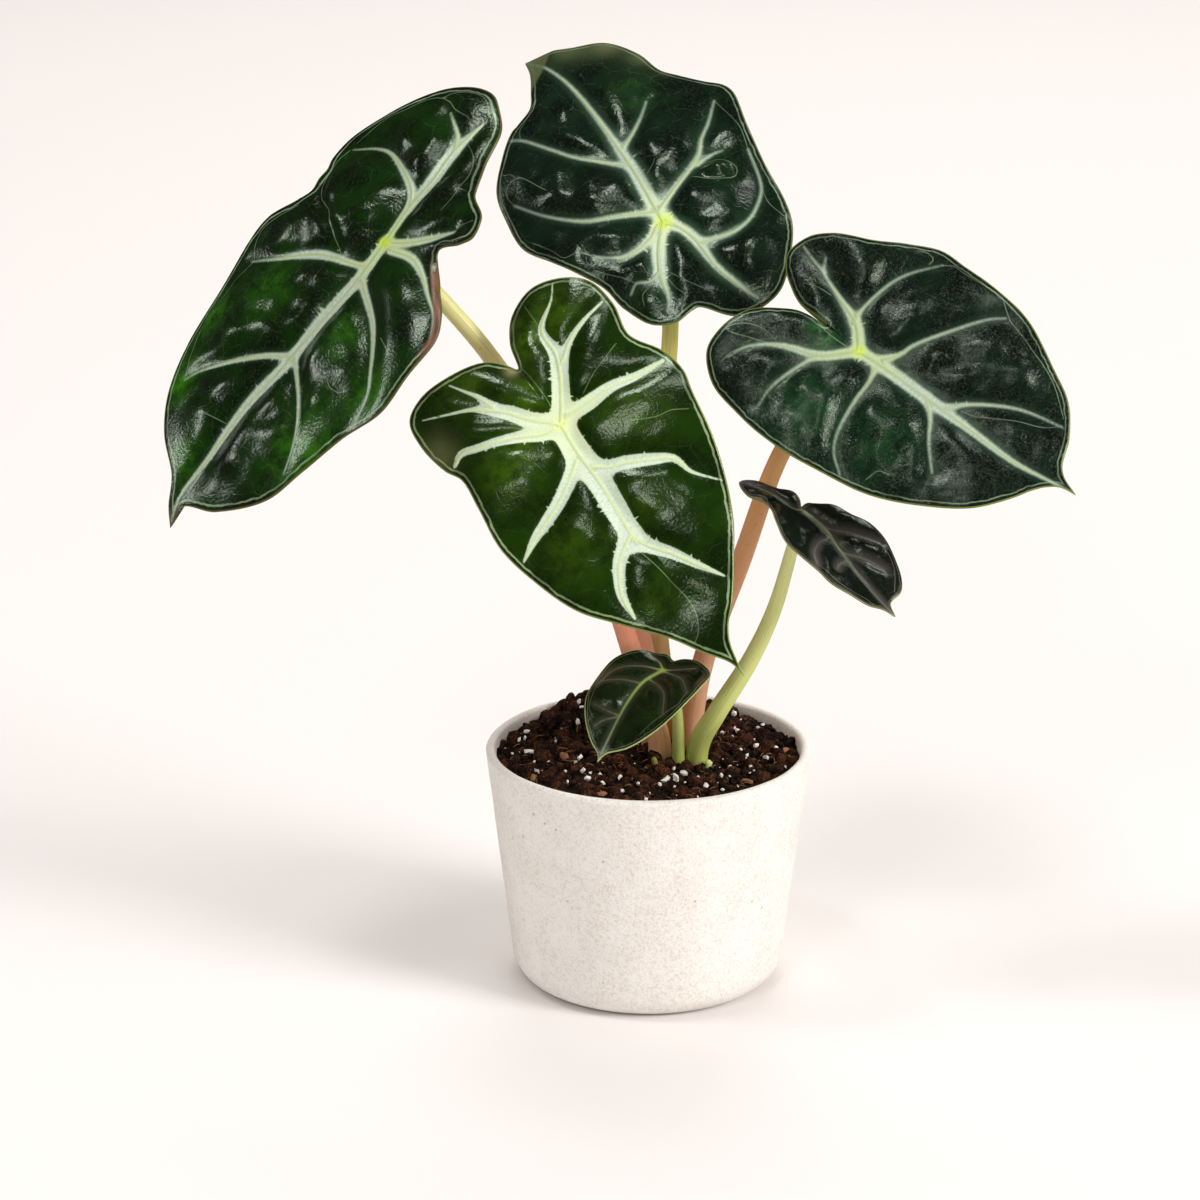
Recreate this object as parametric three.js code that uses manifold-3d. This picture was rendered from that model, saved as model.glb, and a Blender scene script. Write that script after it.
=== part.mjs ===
// A young balloon heart alocasia growing in a small fibre-clay pot.
// Millimetres, +Z up, +X to the right, and the plant is seen from the front, from -Y.
// The origin is the middle of the pot's flat underside.

import * as THREE from 'three';
import { mergeVertices } from 'three/addons/utils/BufferGeometryUtils.js';
import Module from 'manifold-3d';

// Pot
const POT_RIM_RADIUS = 60;
const POT_HEIGHT = 90;
const POT_WALL = 3.4;
const POT_FLOOR = 5;
const POT_TAPER = 0.121;
const POT_FOOT_FILLET = 11;
const POT_INNER_FILLET = 8;
const POT_SIDES = 48;

// Soil
const GAP = 0.3;
const SOIL_LEVEL = 85.5;
const SOIL_SPOKES = 48;
const SOIL_RINGS = 11;
const CRUMB_HEIGHT = 1.3;
const PERLITE_COUNT = 22;
const PERLITE_RADIUS = 1.7;
const BARK_COUNT = 7;
const BARK_SIZE = [7, 4, 2.4];
const SEED = 41;

// Leaves and stalks
const BLADE_THICKNESS = 0.85;
const LARGE_SPOKES = 52;
const LARGE_RINGS = 8;
const SMALL_SPOKES = 34;
const SMALL_RINGS = 4;
const STALK_SIDES = 10;
const STALK_STEPS = 15;
const STALK_CAP_RINGS = 2;

// Each leaf lies in its own frame: the hub is where the stalk joins, "tipward" runs from the
// hub to the tip, "facing" is the way the upper face looks, and "across" makes up the third
// axis. The outline is [across, tipward] in millimetres, from the tip round to the tip.
// bow and droop bend the tip and the back lobes down, fold lifts the halves off the midrib,
// roll turns the sides down, wave ripples the margin, and puff swells the blade between veins.
// tipFold is a line the tip is bent back along, and how far it drops for each millimetre past it.
const LEAVES = [
  {
    name: 'leaf_upper_left',
    large: true,
    hub: [-94, -5, 282],
    facing: [-0.53, -0.558, 0.638],
    tipward: [-0.661, -0.2, -0.724],
    tipReach: 130, backReach: 65, sideReach: 60,
    bow: 14, droop: 8, fold: 0.10, roll: 7, wave: 2.5, wavePhase: 0.6, puff: 3,
    outline: [
      [0, 128], [6, 123], [13, 114], [29, 105], [42, 93], [52, 75], [57, 55], [60, 33],
      [58, 22], [49, 10], [46, 4], [49, -2], [55, -20], [50, -36], [36, -53], [28, -60],
      [21, -64], [15, -65], [8, -62], [1, -57], [-7, -43], [-16, -34], [-31, -29],
      [-34, -22], [-31, -17], [-24, -10], [-35, -1], [-46, 6], [-53, 14], [-55, 30],
      [-55, 45], [-45, 62], [-38, 80], [-32, 96], [-15, 112], [1, 120],
    ],
    veins: [
      [[0, 0], [-1, 28], [0, 58], [3, 98], [0, 128]],
      [[0, 0], [3, -15], [5, -34], [8, -55]],
      [[3, -15], [17, -23], [38, -23], [48, -17]],
      [[-1, 11], [17, 17], [38, 30], [51, 38]],
      [[0, 53], [18, 65], [38, 86]],
      [[-4, 16], [-23, 24], [-38, 37], [-47, 55]],
      [[-1, 52], [-17, 62], [-29, 77], [-32, 85]],
      [[0, 0], [-12, -7], [-25, -19]],
      [[-5, 1], [-17, -2], [-35, 4], [-52, 16]],
    ],
  },
  {
    name: 'leaf_top',
    large: true,
    hub: [5.5, 36, 279.5],
    facing: [-0.216, -0.652, 0.727],
    tipward: [-0.521, 0.706, 0.479],
    tipReach: 85, backReach: 62, sideReach: 50,
    bow: 8, droop: 12, fold: 0.08, roll: 9, wave: 2.5, wavePhase: 2.0, puff: 3,
    tipFold: { from: [-19, 76], to: [9, 99], drop: 0.5 },
    outline: [
      [1.5, 109], [8, 104], [17, 98], [29, 92], [36, 79], [38, 66], [42, 59], [48, 49],
      [52, 43], [53, 37], [48, 18], [44, 1], [41, -17], [36, -31], [27, -42], [18, -48],
      [6, -48], [-1, -45], [-9, -37], [-12, -37], [-20, -38], [-27, -33], [-31, -19],
      [-32, -8], [-37, 3], [-42, 15], [-46, 28], [-44, 45], [-40, 59], [-31, 69],
      [-22, 76], [-11, 80], [-6, 88], [-1, 99],
    ],
    veins: [
      [[0, 0], [4, 28], [7, 64], [6, 89], [1.5, 109]],
      [[3, 31], [-10, 48], [-19, 66], [-24, 73]],
      [[0, 6], [-21, 19], [-33, 36], [-38, 51]],
      [[6, 39], [15, 44], [25, 53]],
      [[2, 6], [20, 13], [31, 23], [45, 37]],
      [[0, 0], [5, -13], [5, -27], [10, -45]],
      [[6, -16], [18, -20], [31, -15], [42, 8]],
      [[0, 0], [-10, -12], [-19, -32]],
      [[-3, 0], [-20, -3], [-35, 14]],
    ],
  },
  {
    name: 'leaf_front',
    large: true,
    hub: [-31.5, -42, 225.5],
    facing: [-0.156, -0.862, 0.482],
    tipward: [0.567, -0.478, -0.671],
    tipReach: 112, backReach: 45, sideReach: 46,
    bow: 12, droop: 6, fold: 0.12, roll: 6, wave: 2.5, wavePhase: 1.2, puff: 3.5,
    outline: [
      [0, 110], [1, 104], [7, 95], [13, 85], [24, 71], [34, 57], [40, 40], [43, 24],
      [41, 8], [40, -5], [43, -12], [45, -25], [43, -35], [35, -39], [23, -39], [9, -36],
      [3, -30], [1, -27], [-2, -37], [-8, -45], [-19, -49], [-30, -45], [-38, -37],
      [-40, -25], [-38, -13], [-44, -1], [-46, 10], [-44, 19], [-41, 34], [-36, 49],
      [-29, 64], [-22, 74], [-12, 87], [-6, 93], [-3, 98],
    ],
    veins: [
      [[0, 0], [1, 26], [2, 56], [1, 81], [7, 92]],
      [[0, 0], [-10, -15], [-14, -33], [-27, -45]],
      [[-13, -18], [-28, -26], [-38, -28]],
      [[-3, -1], [-22, 0], [-42, 3]],
      [[0, 19], [-19, 30], [-27, 41], [-34, 50]],
      [[3, 48], [-9, 68], [-15, 78]],
      [[0, 0], [13, -15], [21, -23], [39, -32]],
      [[4, 0], [21, -8], [39, -11]],
      [[3, 14], [17, 23], [39, 32]],
      [[3, 47], [15, 57], [19, 72]],
    ],
  },
  {
    name: 'leaf_right',
    large: true,
    hub: [73.7, -25, 247.5],
    facing: [-0.117, -0.79, 0.602],
    tipward: [0.796, -0.436, -0.418],
    tipReach: 98, backReach: 48, sideReach: 49,
    bow: 6, droop: 5, fold: 0.08, roll: 5, wave: 2.5, wavePhase: 0, puff: 2.2,
    outline: [
      [0, 93], [1, 87], [4, 83], [8, 80], [15, 76], [26, 67], [35, 51], [41, 34],
      [44, 17], [46, 2], [45, -11], [42, -24], [38, -37], [31, -45], [26, -47],
      [16, -46], [8, -42], [2, -34], [-1.5, -27], [-1.5, -15], [-4, -29], [-8, -36],
      [-13, -42], [-19, -45], [-27, -42], [-32, -35], [-37, -21], [-44, -10], [-49, 1],
      [-48, 13], [-46, 29], [-43, 43], [-34, 60], [-27, 71], [-16, 79], [-6, 83],
      [-3, 86],
    ],
    veins: [
      [[0, 0], [1, 29], [2, 59], [0, 93]],
      [[0, 0], [-10, -12], [-18, -28]],
      [[-9, -9], [-29, -5], [-45, 12]],
      [[-2, 9], [-17, 19], [-38, 35]],
      [[1, 37], [-12, 54], [-18, 75]],
      [[0, 0], [11, -16], [16, -29], [27, -38]],
      [[10, -11], [29, -18], [41, -16]],
      [[3, 9], [23, 11], [40, 20]],
      [[1, 30], [12, 39], [23, 46]],
    ],
  },
  {
    name: 'leaf_small_right',
    large: false,
    hub: [55, -25, 188],
    facing: [0.314, -0.422, 0.85],
    tipward: [0.634, -0.573, -0.519],
    tipReach: 52, backReach: 24, sideReach: 20,
    bow: 4, droop: 3, fold: 0.42, roll: 2, wave: 1, wavePhase: 0.5, puff: 1.7,
    outline: [
      [0, 52], [3, 49], [11, 46], [15.5, 40.5], [19.5, 33.5], [20, 26.5], [21.5, 19],
      [23.5, 11.5], [20.5, 2.5], [14, -7.5], [18.5, -13], [16, -20], [2.5, -16],
      [-3.5, -10.5], [-1, -2.5], [-5, -1.5], [-9.5, 4], [-12.5, 11], [-16, 17.5],
      [-17, 25.5], [-15, 34], [-11.5, 42], [-8, 45.5], [-2, 47],
    ],
    veins: [
      [[0, -1], [-1, 14], [2, 33], [0, 52]],
      [[-1, 4], [-5.5, 14], [-14, 25.5]],
      [[-0.5, 21.5], [-8.5, 35.5]],
      [[-1, 13.5], [11, 17], [18, 24]],
      [[0, -1], [6.5, -7], [15.5, -19.5]],
    ],
  },
  {
    name: 'leaf_small_front',
    large: false,
    hub: [5, -28, 129],
    facing: [-0.107, -0.556, 0.824],
    tipward: [-0.567, -0.647, -0.51],
    tipReach: 48, backReach: 8, sideReach: 20,
    bow: 5, droop: 1, fold: 0.3, roll: 2, wave: 0.8, wavePhase: 0, puff: 1.7,
    outline: [
      [-0.5, 43.5], [1, 41], [5.5, 38.5], [11.5, 33], [16.5, 25], [18, 15.5], [17.5, 7.5],
      [14.5, 2], [8.5, -4], [2, -6.5], [-0.5, -6], [-3.5, -9], [-11.5, -8.5],
      [-17.5, -5.5], [-17.5, 1], [-17, 13], [-13, 25.5], [-7.5, 34.5], [-1.5, 39.5],
    ],
    veins: [
      [[0, 0], [3, 12], [3, 23], [-0.5, 43.5]],
      [[0, 0], [11, 5], [16, 19]],
      [[3, 9], [14, 14]],
      [[3, 24.5], [10, 30.5]],
      [[0, 0], [-9, 1], [-14.5, 5.5]],
      [[2, 6], [-6.5, 9], [-12, 17.5]],
    ],
  },
];

// A stalk runs through its points from its foot in the soil to the underside of its leaf.
const STALKS = [
  {
    name: 'stalk_upper_left', leaf: 'leaf_upper_left', footRadius: 4.3, topRadius: 2.8,
    route: [[2, 6, 77], [1.5, 5, 95], [-2.8, -3, 132], [-22, -7, 180], [-55, -4, 236.7],
      [-75, -4, 261.5]],
  },
  {
    name: 'stalk_top', leaf: 'leaf_top', footRadius: 3.6, topRadius: 2.9,
    route: [[9, 12.5, 77], [8.6, 12, 96], [4.2, 6, 128], [2, 13, 170], [6, 25, 215],
      [8, 31, 244]],
  },
  {
    name: 'stalk_front', leaf: 'leaf_front', footRadius: 4.4, topRadius: 2.8,
    route: [[4, -6, 77], [4, -6.5, 94], [-2, -11, 115], [-7.7, -15.5, 136.5],
      [-18, -22, 172], [-27, -30, 204]],
  },
  {
    name: 'stalk_right', leaf: 'leaf_right', footRadius: 4.3, topRadius: 2.9,
    route: [[15.5, 6, 77], [16.8, 3, 102], [20.8, 0, 125], [33.7, 2, 160.7],
      [46.7, 1, 199.5], [60, -8, 226]],
  },
  {
    name: 'stalk_small_right', leaf: 'leaf_small_right', footRadius: 4.4, topRadius: 2,
    route: [[17.3, -7.5, 77], [18.6, -12.5, 95], [24.8, -18, 109], [37.1, -20, 130.7],
      [45, -20, 149], [51.3, -21.5, 173]],
  },
  {
    name: 'stalk_small_front', leaf: 'leaf_small_front', footRadius: 2.7, topRadius: 1.5,
    route: [[11, -12.5, 77], [11, -12.8, 92], [10.8, -15, 101], [9.6, -20, 115]],
  },
];

// Two shoots that have only just come through the soil.
const SHOOTS = [
  {
    name: 'shoot_tip', footRadius: 2.3, topRadius: 1,
    route: [[3.5, -15, 79], [3, -15.3, 85], [2, -15.8, 90]],
  },
  {
    name: 'shoot_stub', footRadius: 1.8, topRadius: 1.3,
    route: [[21.5, -15.4, 79], [21.6, -15.6, 84], [21.9, -15.8, 88.6]],
  },
];

const COLOURS = {
  pot: 0xe9e2d8,
  soil: 0x33221a,
  blade: 0x14301b,
  stalkUpperLeft: 0xc98a6c,
  stalkTop: 0xa8a35c,
  stalkRight: 0xc58a6a,
  stalkPale: 0xb3bb6e,
};

const wasm = await Module();
wasm.setup();

// Numbers from 0 to 1 that are the same every time.
function seededRandom(seed) {
  let state = seed;
  return () => {
    state = (state + 0x6d2b79f5) | 0;
    let t = Math.imul(state ^ (state >>> 15), 1 | state);
    t = (t + Math.imul(t ^ (t >>> 7), 61 | t)) ^ t;
    return ((t ^ (t >>> 14)) >>> 0) / 4294967296;
  };
}

function geometryFrom(points, triangles) {
  const geometry = new THREE.BufferGeometry();
  const numbers = points.flatMap((p) => [p.x, p.y, p.z]);
  geometry.setAttribute('position', new THREE.Float32BufferAttribute(numbers, 3));
  geometry.setIndex(triangles.flat());
  return geometry;
}

function toSolid(geometry) {
  const bare = geometry.clone();
  bare.deleteAttribute('normal');
  bare.deleteAttribute('uv');
  const merged = mergeVertices(bare, 1e-4);
  return new wasm.Manifold(new wasm.Mesh({
    numProp: 3,
    vertProperties: new Float32Array(merged.attributes.position.array),
    triVerts: new Uint32Array(merged.index.array),
  }));
}

function toGeometry(solid) {
  const mesh = solid.getMesh();
  const geometry = new THREE.BufferGeometry();
  const corners = mesh.vertProperties.length / mesh.numProp;
  const places = new Float32Array(corners * 3);
  for (let i = 0; i < corners; i += 1) {
    for (let k = 0; k < 3; k += 1) places[i * 3 + k] = mesh.vertProperties[i * mesh.numProp + k];
  }
  geometry.setAttribute('position', new THREE.BufferAttribute(places, 3));
  geometry.setIndex(Array.from(mesh.triVerts));
  return geometry;
}

function makeMesh(name, geometry, colour, roughness) {
  const flat = geometry.clone();
  flat.deleteAttribute('uv');
  flat.computeVertexNormals();
  const material = new THREE.MeshStandardMaterial({ color: colour, roughness, metalness: 0 });
  const mesh = new THREE.Mesh(flat, material);
  mesh.name = name;
  return mesh;
}

// The pot's outer wall leans out evenly from its foot to its rim.
function potOuterRadius(z) {
  return POT_RIM_RADIUS - POT_TAPER * (POT_HEIGHT - POT_WALL / 2 - z);
}

function potInnerRadius(z) {
  return potOuterRadius(z) - POT_WALL;
}

// Points on an arc about (x, y), angles in degrees.
function arc(x, y, radius, from, to, steps) {
  const points = [];
  for (let i = 0; i <= steps; i += 1) {
    const angle = THREE.MathUtils.degToRad(from + ((to - from) * i) / steps);
    points.push(new THREE.Vector2(x + radius * Math.cos(angle), y + radius * Math.sin(angle)));
  }
  return points;
}

function potGeometry() {
  const lean = THREE.MathUtils.radToDeg(Math.atan(POT_TAPER));
  const slant = Math.sqrt(1 + POT_TAPER ** 2);
  const footCentre = potOuterRadius(POT_FOOT_FILLET) - POT_FOOT_FILLET * slant;
  const innerZ = POT_FLOOR + POT_INNER_FILLET;
  const innerCentre = potInnerRadius(innerZ) - POT_INNER_FILLET * slant;
  const lipRadius = POT_WALL / 2;
  const profile = [
    new THREE.Vector2(0, 0),
    ...arc(footCentre, POT_FOOT_FILLET, POT_FOOT_FILLET, -90, -lean, 6),
    ...arc(POT_RIM_RADIUS - lipRadius, POT_HEIGHT - lipRadius, lipRadius, -lean, 180 - lean, 6),
    ...arc(innerCentre, innerZ, POT_INNER_FILLET, -lean, -90, 4),
    new THREE.Vector2(0, POT_FLOOR),
  ];
  const geometry = new THREE.LatheGeometry(profile, POT_SIDES);
  geometry.rotateX(Math.PI / 2);
  return toGeometry(toSolid(geometry));
}

// How far a folded tip has dropped, which grows evenly past the fold's line and its start.
function tipDrop(leaf, across, along) {
  if (!leaf.tipFold) return 0;
  const { from: [ax, ay], to: [bx, by], drop } = leaf.tipFold;
  const length = Math.hypot(bx - ax, by - ay);
  const past = ((bx - ax) * (along - ay) - (by - ay) * (across - ax)) / length;
  const inside = ((bx - ax) * (across - ax) + (by - ay) * (along - ay)) / length;
  const beyond = Math.min(past, inside);
  return (drop * (Math.hypot(beyond, 1.2) + beyond)) / 2;
}

// How far the blade stands off its flat frame: bent along its length, lifted off the midrib,
// rolled down at its sides and rippled at its margin.
function bladeHeight(leaf, across, along, share) {
  const end = along > 0
    ? leaf.bow * (along / leaf.tipReach) ** 2
    : leaf.droop * (along / leaf.backReach) ** 2;
  const crease = leaf.large ? 4 : 1.5;
  const lift = leaf.fold * (Math.hypot(across, crease) - crease);
  const roll = leaf.roll * (across / leaf.sideReach) ** 2;
  const bearing = Math.atan2(across, along);
  const wave = leaf.wave * share ** 3 * Math.sin(5 * bearing + leaf.wavePhase);
  return lift - end - roll + wave - tipDrop(leaf, across, along);
}

function distanceToLine(x, y, [ax, ay], [bx, by]) {
  const dx = bx - ax;
  const dy = by - ay;
  const t = THREE.MathUtils.clamp(((x - ax) * dx + (y - ay) * dy) / (dx * dx + dy * dy), 0, 1);
  return Math.hypot(x - ax - t * dx, y - ay - t * dy);
}

// The blade swells between its veins, which lie in shallow valleys, and is flat at its margin.
function quilting(leaf, across, along, share) {
  let nearest = Infinity;
  for (const vein of leaf.veins) {
    for (let i = 1; i < vein.length; i += 1) {
      nearest = Math.min(nearest, distanceToLine(across, along, vein[i - 1], vein[i]));
    }
  }
  const spread = leaf.large ? 7 : 3;
  return leaf.puff * (1 - Math.exp(-((nearest / spread) ** 2))) * (1 - share ** 4);
}

function leafFrame(leaf) {
  const facing = new THREE.Vector3(...leaf.facing).normalize();
  const tipward = new THREE.Vector3(...leaf.tipward);
  tipward.addScaledVector(facing, -tipward.dot(facing)).normalize();
  const across = new THREE.Vector3().crossVectors(tipward, facing);
  return { hub: new THREE.Vector3(...leaf.hub), facing, tipward, across };
}

// The margin as evenly spaced points, with a sharp corner only at the tip.
function marginPoints(leaf, count) {
  const corners = [...leaf.outline, leaf.outline[0]].map(([x, y]) => new THREE.Vector3(x, y, 0));
  const curve = new THREE.CatmullRomCurve3(corners, false, 'centripetal');
  curve.arcLengthDivisions = 800;
  return curve.getSpacedPoints(count).slice(0, count);
}

// Rings of points shrink from the margin to the hub, alike on both faces.
function bladeGeometry(leaf) {
  const spokes = leaf.large ? LARGE_SPOKES : SMALL_SPOKES;
  const rings = leaf.large ? LARGE_RINGS : SMALL_RINGS;
  const { hub, facing, tipward, across } = leafFrame(leaf);
  const margin = marginPoints(leaf, spokes);
  const points = [];
  for (const depth of [0, BLADE_THICKNESS]) {
    points.push(hub.clone().addScaledVector(facing, -depth));
    for (let ring = 1; ring <= rings; ring += 1) {
      const share = ring / rings;
      for (const edge of margin) {
        const x = edge.x * share;
        const y = edge.y * share;
        const height = bladeHeight(leaf, x, y, share) + quilting(leaf, x, y, share);
        points.push(hub.clone().addScaledVector(across, x).addScaledVector(tipward, y)
          .addScaledVector(facing, height - depth));
      }
    }
  }
  const under = 1 + rings * spokes;
  const at = (ring, spoke) => 1 + (ring - 1) * spokes + (spoke % spokes);
  const triangles = [];
  const addBoth = (a, b, c) => {
    triangles.push([a, b, c], [under + a, under + c, under + b]);
  };
  for (let s = 0; s < spokes; s += 1) {
    addBoth(0, at(1, s + 1), at(1, s));
    for (let r = 1; r < rings; r += 1) {
      addBoth(at(r, s), at(r, s + 1), at(r + 1, s));
      addBoth(at(r, s + 1), at(r + 1, s + 1), at(r + 1, s));
    }
    const a = at(rings, s);
    const b = at(rings, s + 1);
    triangles.push([a, b, under + b], [a, under + b, under + a]);
  }
  return geometryFrom(points, triangles);
}

// A tapering round stalk with domed ends. "extra" makes it fatter and longer by that much.
function stalkGeometry(stalk, extra = 0) {
  const route = stalk.route.map((p) => new THREE.Vector3(...p));
  if (stalk.leaf) {
    const { hub, facing } = leafFrame(LEAVES.find((leaf) => leaf.name === stalk.leaf));
    const back = BLADE_THICKNESS + GAP + stalk.topRadius;
    route.push(hub.clone().addScaledVector(facing, -back));
  }
  const curve = new THREE.CatmullRomCurve3(route, false, 'centripetal');
  const frames = curve.computeFrenetFrames(STALK_STEPS, false);
  const points = [];
  const addRing = (centre, step, radius) => {
    for (let side = 0; side < STALK_SIDES; side += 1) {
      const angle = (2 * Math.PI * side) / STALK_SIDES;
      points.push(centre.clone()
        .addScaledVector(frames.normals[step], radius * Math.cos(angle))
        .addScaledVector(frames.binormals[step], radius * Math.sin(angle)));
    }
  };
  const addCap = (step, centre, radius, sense) => {
    for (let i = 1; i <= STALK_CAP_RINGS; i += 1) {
      const ring = sense < 0 ? STALK_CAP_RINGS + 1 - i : i;
      const angle = (Math.PI / 2) * (ring / (STALK_CAP_RINGS + 1));
      const place = centre.clone()
        .addScaledVector(frames.tangents[step], sense * radius * Math.sin(angle));
      addRing(place, step, radius * Math.cos(angle));
    }
  };
  const start = curve.getPointAt(0);
  const end = curve.getPointAt(1);
  const footRadius = stalk.footRadius + extra;
  const topRadius = stalk.topRadius + extra;
  points.push(start.clone().addScaledVector(frames.tangents[0], -footRadius));
  addCap(0, start, footRadius, -1);
  for (let step = 0; step <= STALK_STEPS; step += 1) {
    const share = step / STALK_STEPS;
    addRing(curve.getPointAt(share), step, THREE.MathUtils.lerp(footRadius, topRadius, share));
  }
  addCap(STALK_STEPS, end, topRadius, 1);
  points.push(end.clone().addScaledVector(frames.tangents[STALK_STEPS], topRadius));
  const ringCount = STALK_STEPS + 1 + 2 * STALK_CAP_RINGS;
  const last = points.length - 1;
  const at = (ring, side) => 1 + ring * STALK_SIDES + (side % STALK_SIDES);
  const triangles = [];
  for (let side = 0; side < STALK_SIDES; side += 1) {
    triangles.push([0, at(0, side + 1), at(0, side)]);
    for (let ring = 0; ring < ringCount - 1; ring += 1) {
      triangles.push([at(ring, side), at(ring, side + 1), at(ring + 1, side)]);
      triangles.push([at(ring, side + 1), at(ring + 1, side + 1), at(ring + 1, side)]);
    }
    triangles.push([last, at(ringCount - 1, side), at(ringCount - 1, side + 1)]);
  }
  return geometryFrom(points, triangles);
}

// Soil height: nearly level, a little higher round the stalks, heaped against the back left
// wall and less so at the back right.
function soilHeight(x, y) {
  const heap = (cx, cy, height, spread) => (
    height * Math.exp(-((x - cx) ** 2 + (y - cy) ** 2) / (2 * spread ** 2))
  );
  return SOIL_LEVEL + heap(8, -2, 2, 16) + heap(-20, 42, 8, 11) + heap(24, 44, 4, 7)
    + heap(0, -52, 1.5, 22);
}

function soilBody(random) {
  const points = [new THREE.Vector3(0, 0, soilHeight(0, 0))];
  for (let ring = 1; ring <= SOIL_RINGS; ring += 1) {
    const share = ring / SOIL_RINGS;
    for (let s = 0; s < SOIL_SPOKES; s += 1) {
      const angle = (2 * Math.PI * (s + ((SOIL_RINGS - ring) % 2) / 2)) / SOIL_SPOKES;
      const wander = ring < SOIL_RINGS ? 0.35 * (random() - 0.5) : 0;
      const turned = angle + (wander * 2 * Math.PI) / SOIL_SPOKES;
      const radius = share * (potInnerRadius(SOIL_LEVEL) - GAP);
      const x = radius * Math.cos(turned);
      const y = radius * Math.sin(turned);
      points.push(new THREE.Vector3(x, y, soilHeight(x, y) + CRUMB_HEIGHT * (random() - 0.5) * 2));
    }
  }
  const levels = [SOIL_LEVEL - 5, POT_FLOOR + POT_INNER_FILLET + 1, POT_FLOOR + GAP];
  const insets = [GAP, GAP, POT_INNER_FILLET];
  levels.forEach((z, i) => {
    for (let s = 0; s < SOIL_SPOKES; s += 1) {
      const angle = (2 * Math.PI * s) / SOIL_SPOKES;
      const radius = potInnerRadius(z) - insets[i];
      points.push(new THREE.Vector3(radius * Math.cos(angle), radius * Math.sin(angle), z));
    }
  });
  points.push(new THREE.Vector3(0, 0, POT_FLOOR + GAP));
  const ringCount = SOIL_RINGS + levels.length;
  const last = points.length - 1;
  const at = (ring, s) => 1 + (ring - 1) * SOIL_SPOKES + ((s + SOIL_SPOKES) % SOIL_SPOKES);
  const triangles = [];
  for (let s = 0; s < SOIL_SPOKES; s += 1) {
    triangles.push([0, at(1, s), at(1, s + 1)]);
    for (let r = 1; r < ringCount; r += 1) {
      const turn = r < SOIL_RINGS && (SOIL_RINGS - r) % 2 === 1 ? 1 : 0;
      triangles.push([at(r, s), at(r + 1, s + turn), at(r, s + 1)]);
      triangles.push([at(r, s + 1), at(r + 1, s + turn), at(r + 1, s + 1 + turn)]);
    }
    triangles.push([last, at(ringCount, s + 1), at(ringCount, s)]);
  }
  return geometryFrom(points, triangles);
}

// White grains and chips of bark lie half sunk in the soil's surface.
function soilLumps(random) {
  const lumps = [];
  const place = (geometry, index, count) => {
    const bearing = 2.4 * index;
    const radius = 52 * Math.sqrt((index + 0.5) / count);
    const x = radius * Math.cos(bearing);
    const y = radius * Math.sin(bearing);
    geometry.rotateX(random() * 3);
    geometry.rotateZ(random() * 3);
    geometry.translate(x, y, soilHeight(x, y) + 0.4);
    lumps.push(geometry);
  };
  for (let i = 0; i < PERLITE_COUNT; i += 1) {
    const radius = PERLITE_RADIUS * (0.75 + 0.5 * random());
    place(new THREE.IcosahedronGeometry(radius), i, PERLITE_COUNT);
  }
  for (let i = 0; i < BARK_COUNT; i += 1) {
    place(new THREE.BoxGeometry(...BARK_SIZE), i + 0.5, BARK_COUNT);
  }
  return lumps;
}

function soilGeometry() {
  const random = seededRandom(SEED);
  let soil = toSolid(soilBody(random));
  for (const lump of soilLumps(random)) soil = soil.add(toSolid(lump));
  for (const stem of [...STALKS, ...SHOOTS]) {
    soil = soil.subtract(toSolid(stalkGeometry(stem, GAP * 1.2)));
  }
  return toGeometry(soil);
}

const STALK_COLOURS = {
  stalk_upper_left: COLOURS.stalkUpperLeft,
  stalk_top: COLOURS.stalkTop,
  stalk_front: COLOURS.stalkUpperLeft,
  stalk_right: COLOURS.stalkRight,
};

const plant = new THREE.Group();
plant.add(makeMesh('pot', potGeometry(), COLOURS.pot, 0.75));
plant.add(makeMesh('soil', soilGeometry(), COLOURS.soil, 0.95));
for (const leaf of LEAVES) {
  plant.add(makeMesh(leaf.name, bladeGeometry(leaf), COLOURS.blade, 0.35));
}
for (const stem of [...STALKS, ...SHOOTS]) {
  const colour = STALK_COLOURS[stem.name] ?? COLOURS.stalkPale;
  plant.add(makeMesh(stem.name, stalkGeometry(stem), colour, 0.5));
}

export default plant;
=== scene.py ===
"""A young balloon heart alocasia in a small fibre-clay pot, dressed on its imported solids.

Shapes are worked out in millimetres and become metres as their mesh is made. +Z is up and the
plant is seen from -Y. Every leaf has a frame of its own: the hub is where the stalk joins,
"tipward" runs from the hub to the tip, "facing" is the way the upper face looks, and "across"
makes up the third axis. Places on a leaf are (across, tipward) from its hub.

The longer tables are text: a place's numbers have spaces between them, places have commas
between them, and drawn lines have semicolons between them.
"""

import bmesh
import bpy
import numpy as np
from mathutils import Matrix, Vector


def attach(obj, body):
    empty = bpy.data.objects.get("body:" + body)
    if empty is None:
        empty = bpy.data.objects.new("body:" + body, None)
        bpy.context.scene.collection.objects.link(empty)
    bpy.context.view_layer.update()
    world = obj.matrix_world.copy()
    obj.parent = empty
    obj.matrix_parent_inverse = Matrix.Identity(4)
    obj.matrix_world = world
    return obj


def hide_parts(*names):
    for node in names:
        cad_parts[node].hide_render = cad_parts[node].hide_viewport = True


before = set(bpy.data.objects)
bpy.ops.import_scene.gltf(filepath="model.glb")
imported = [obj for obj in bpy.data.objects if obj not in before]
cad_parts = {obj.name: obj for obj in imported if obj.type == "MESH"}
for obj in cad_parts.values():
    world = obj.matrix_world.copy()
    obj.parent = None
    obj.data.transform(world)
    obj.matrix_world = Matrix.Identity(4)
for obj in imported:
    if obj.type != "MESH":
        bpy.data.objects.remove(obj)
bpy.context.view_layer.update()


def places(text):
    """The places in a text, each a list of numbers."""
    return [[float(number) for number in place.split()] for place in text.split(",")]


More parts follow.
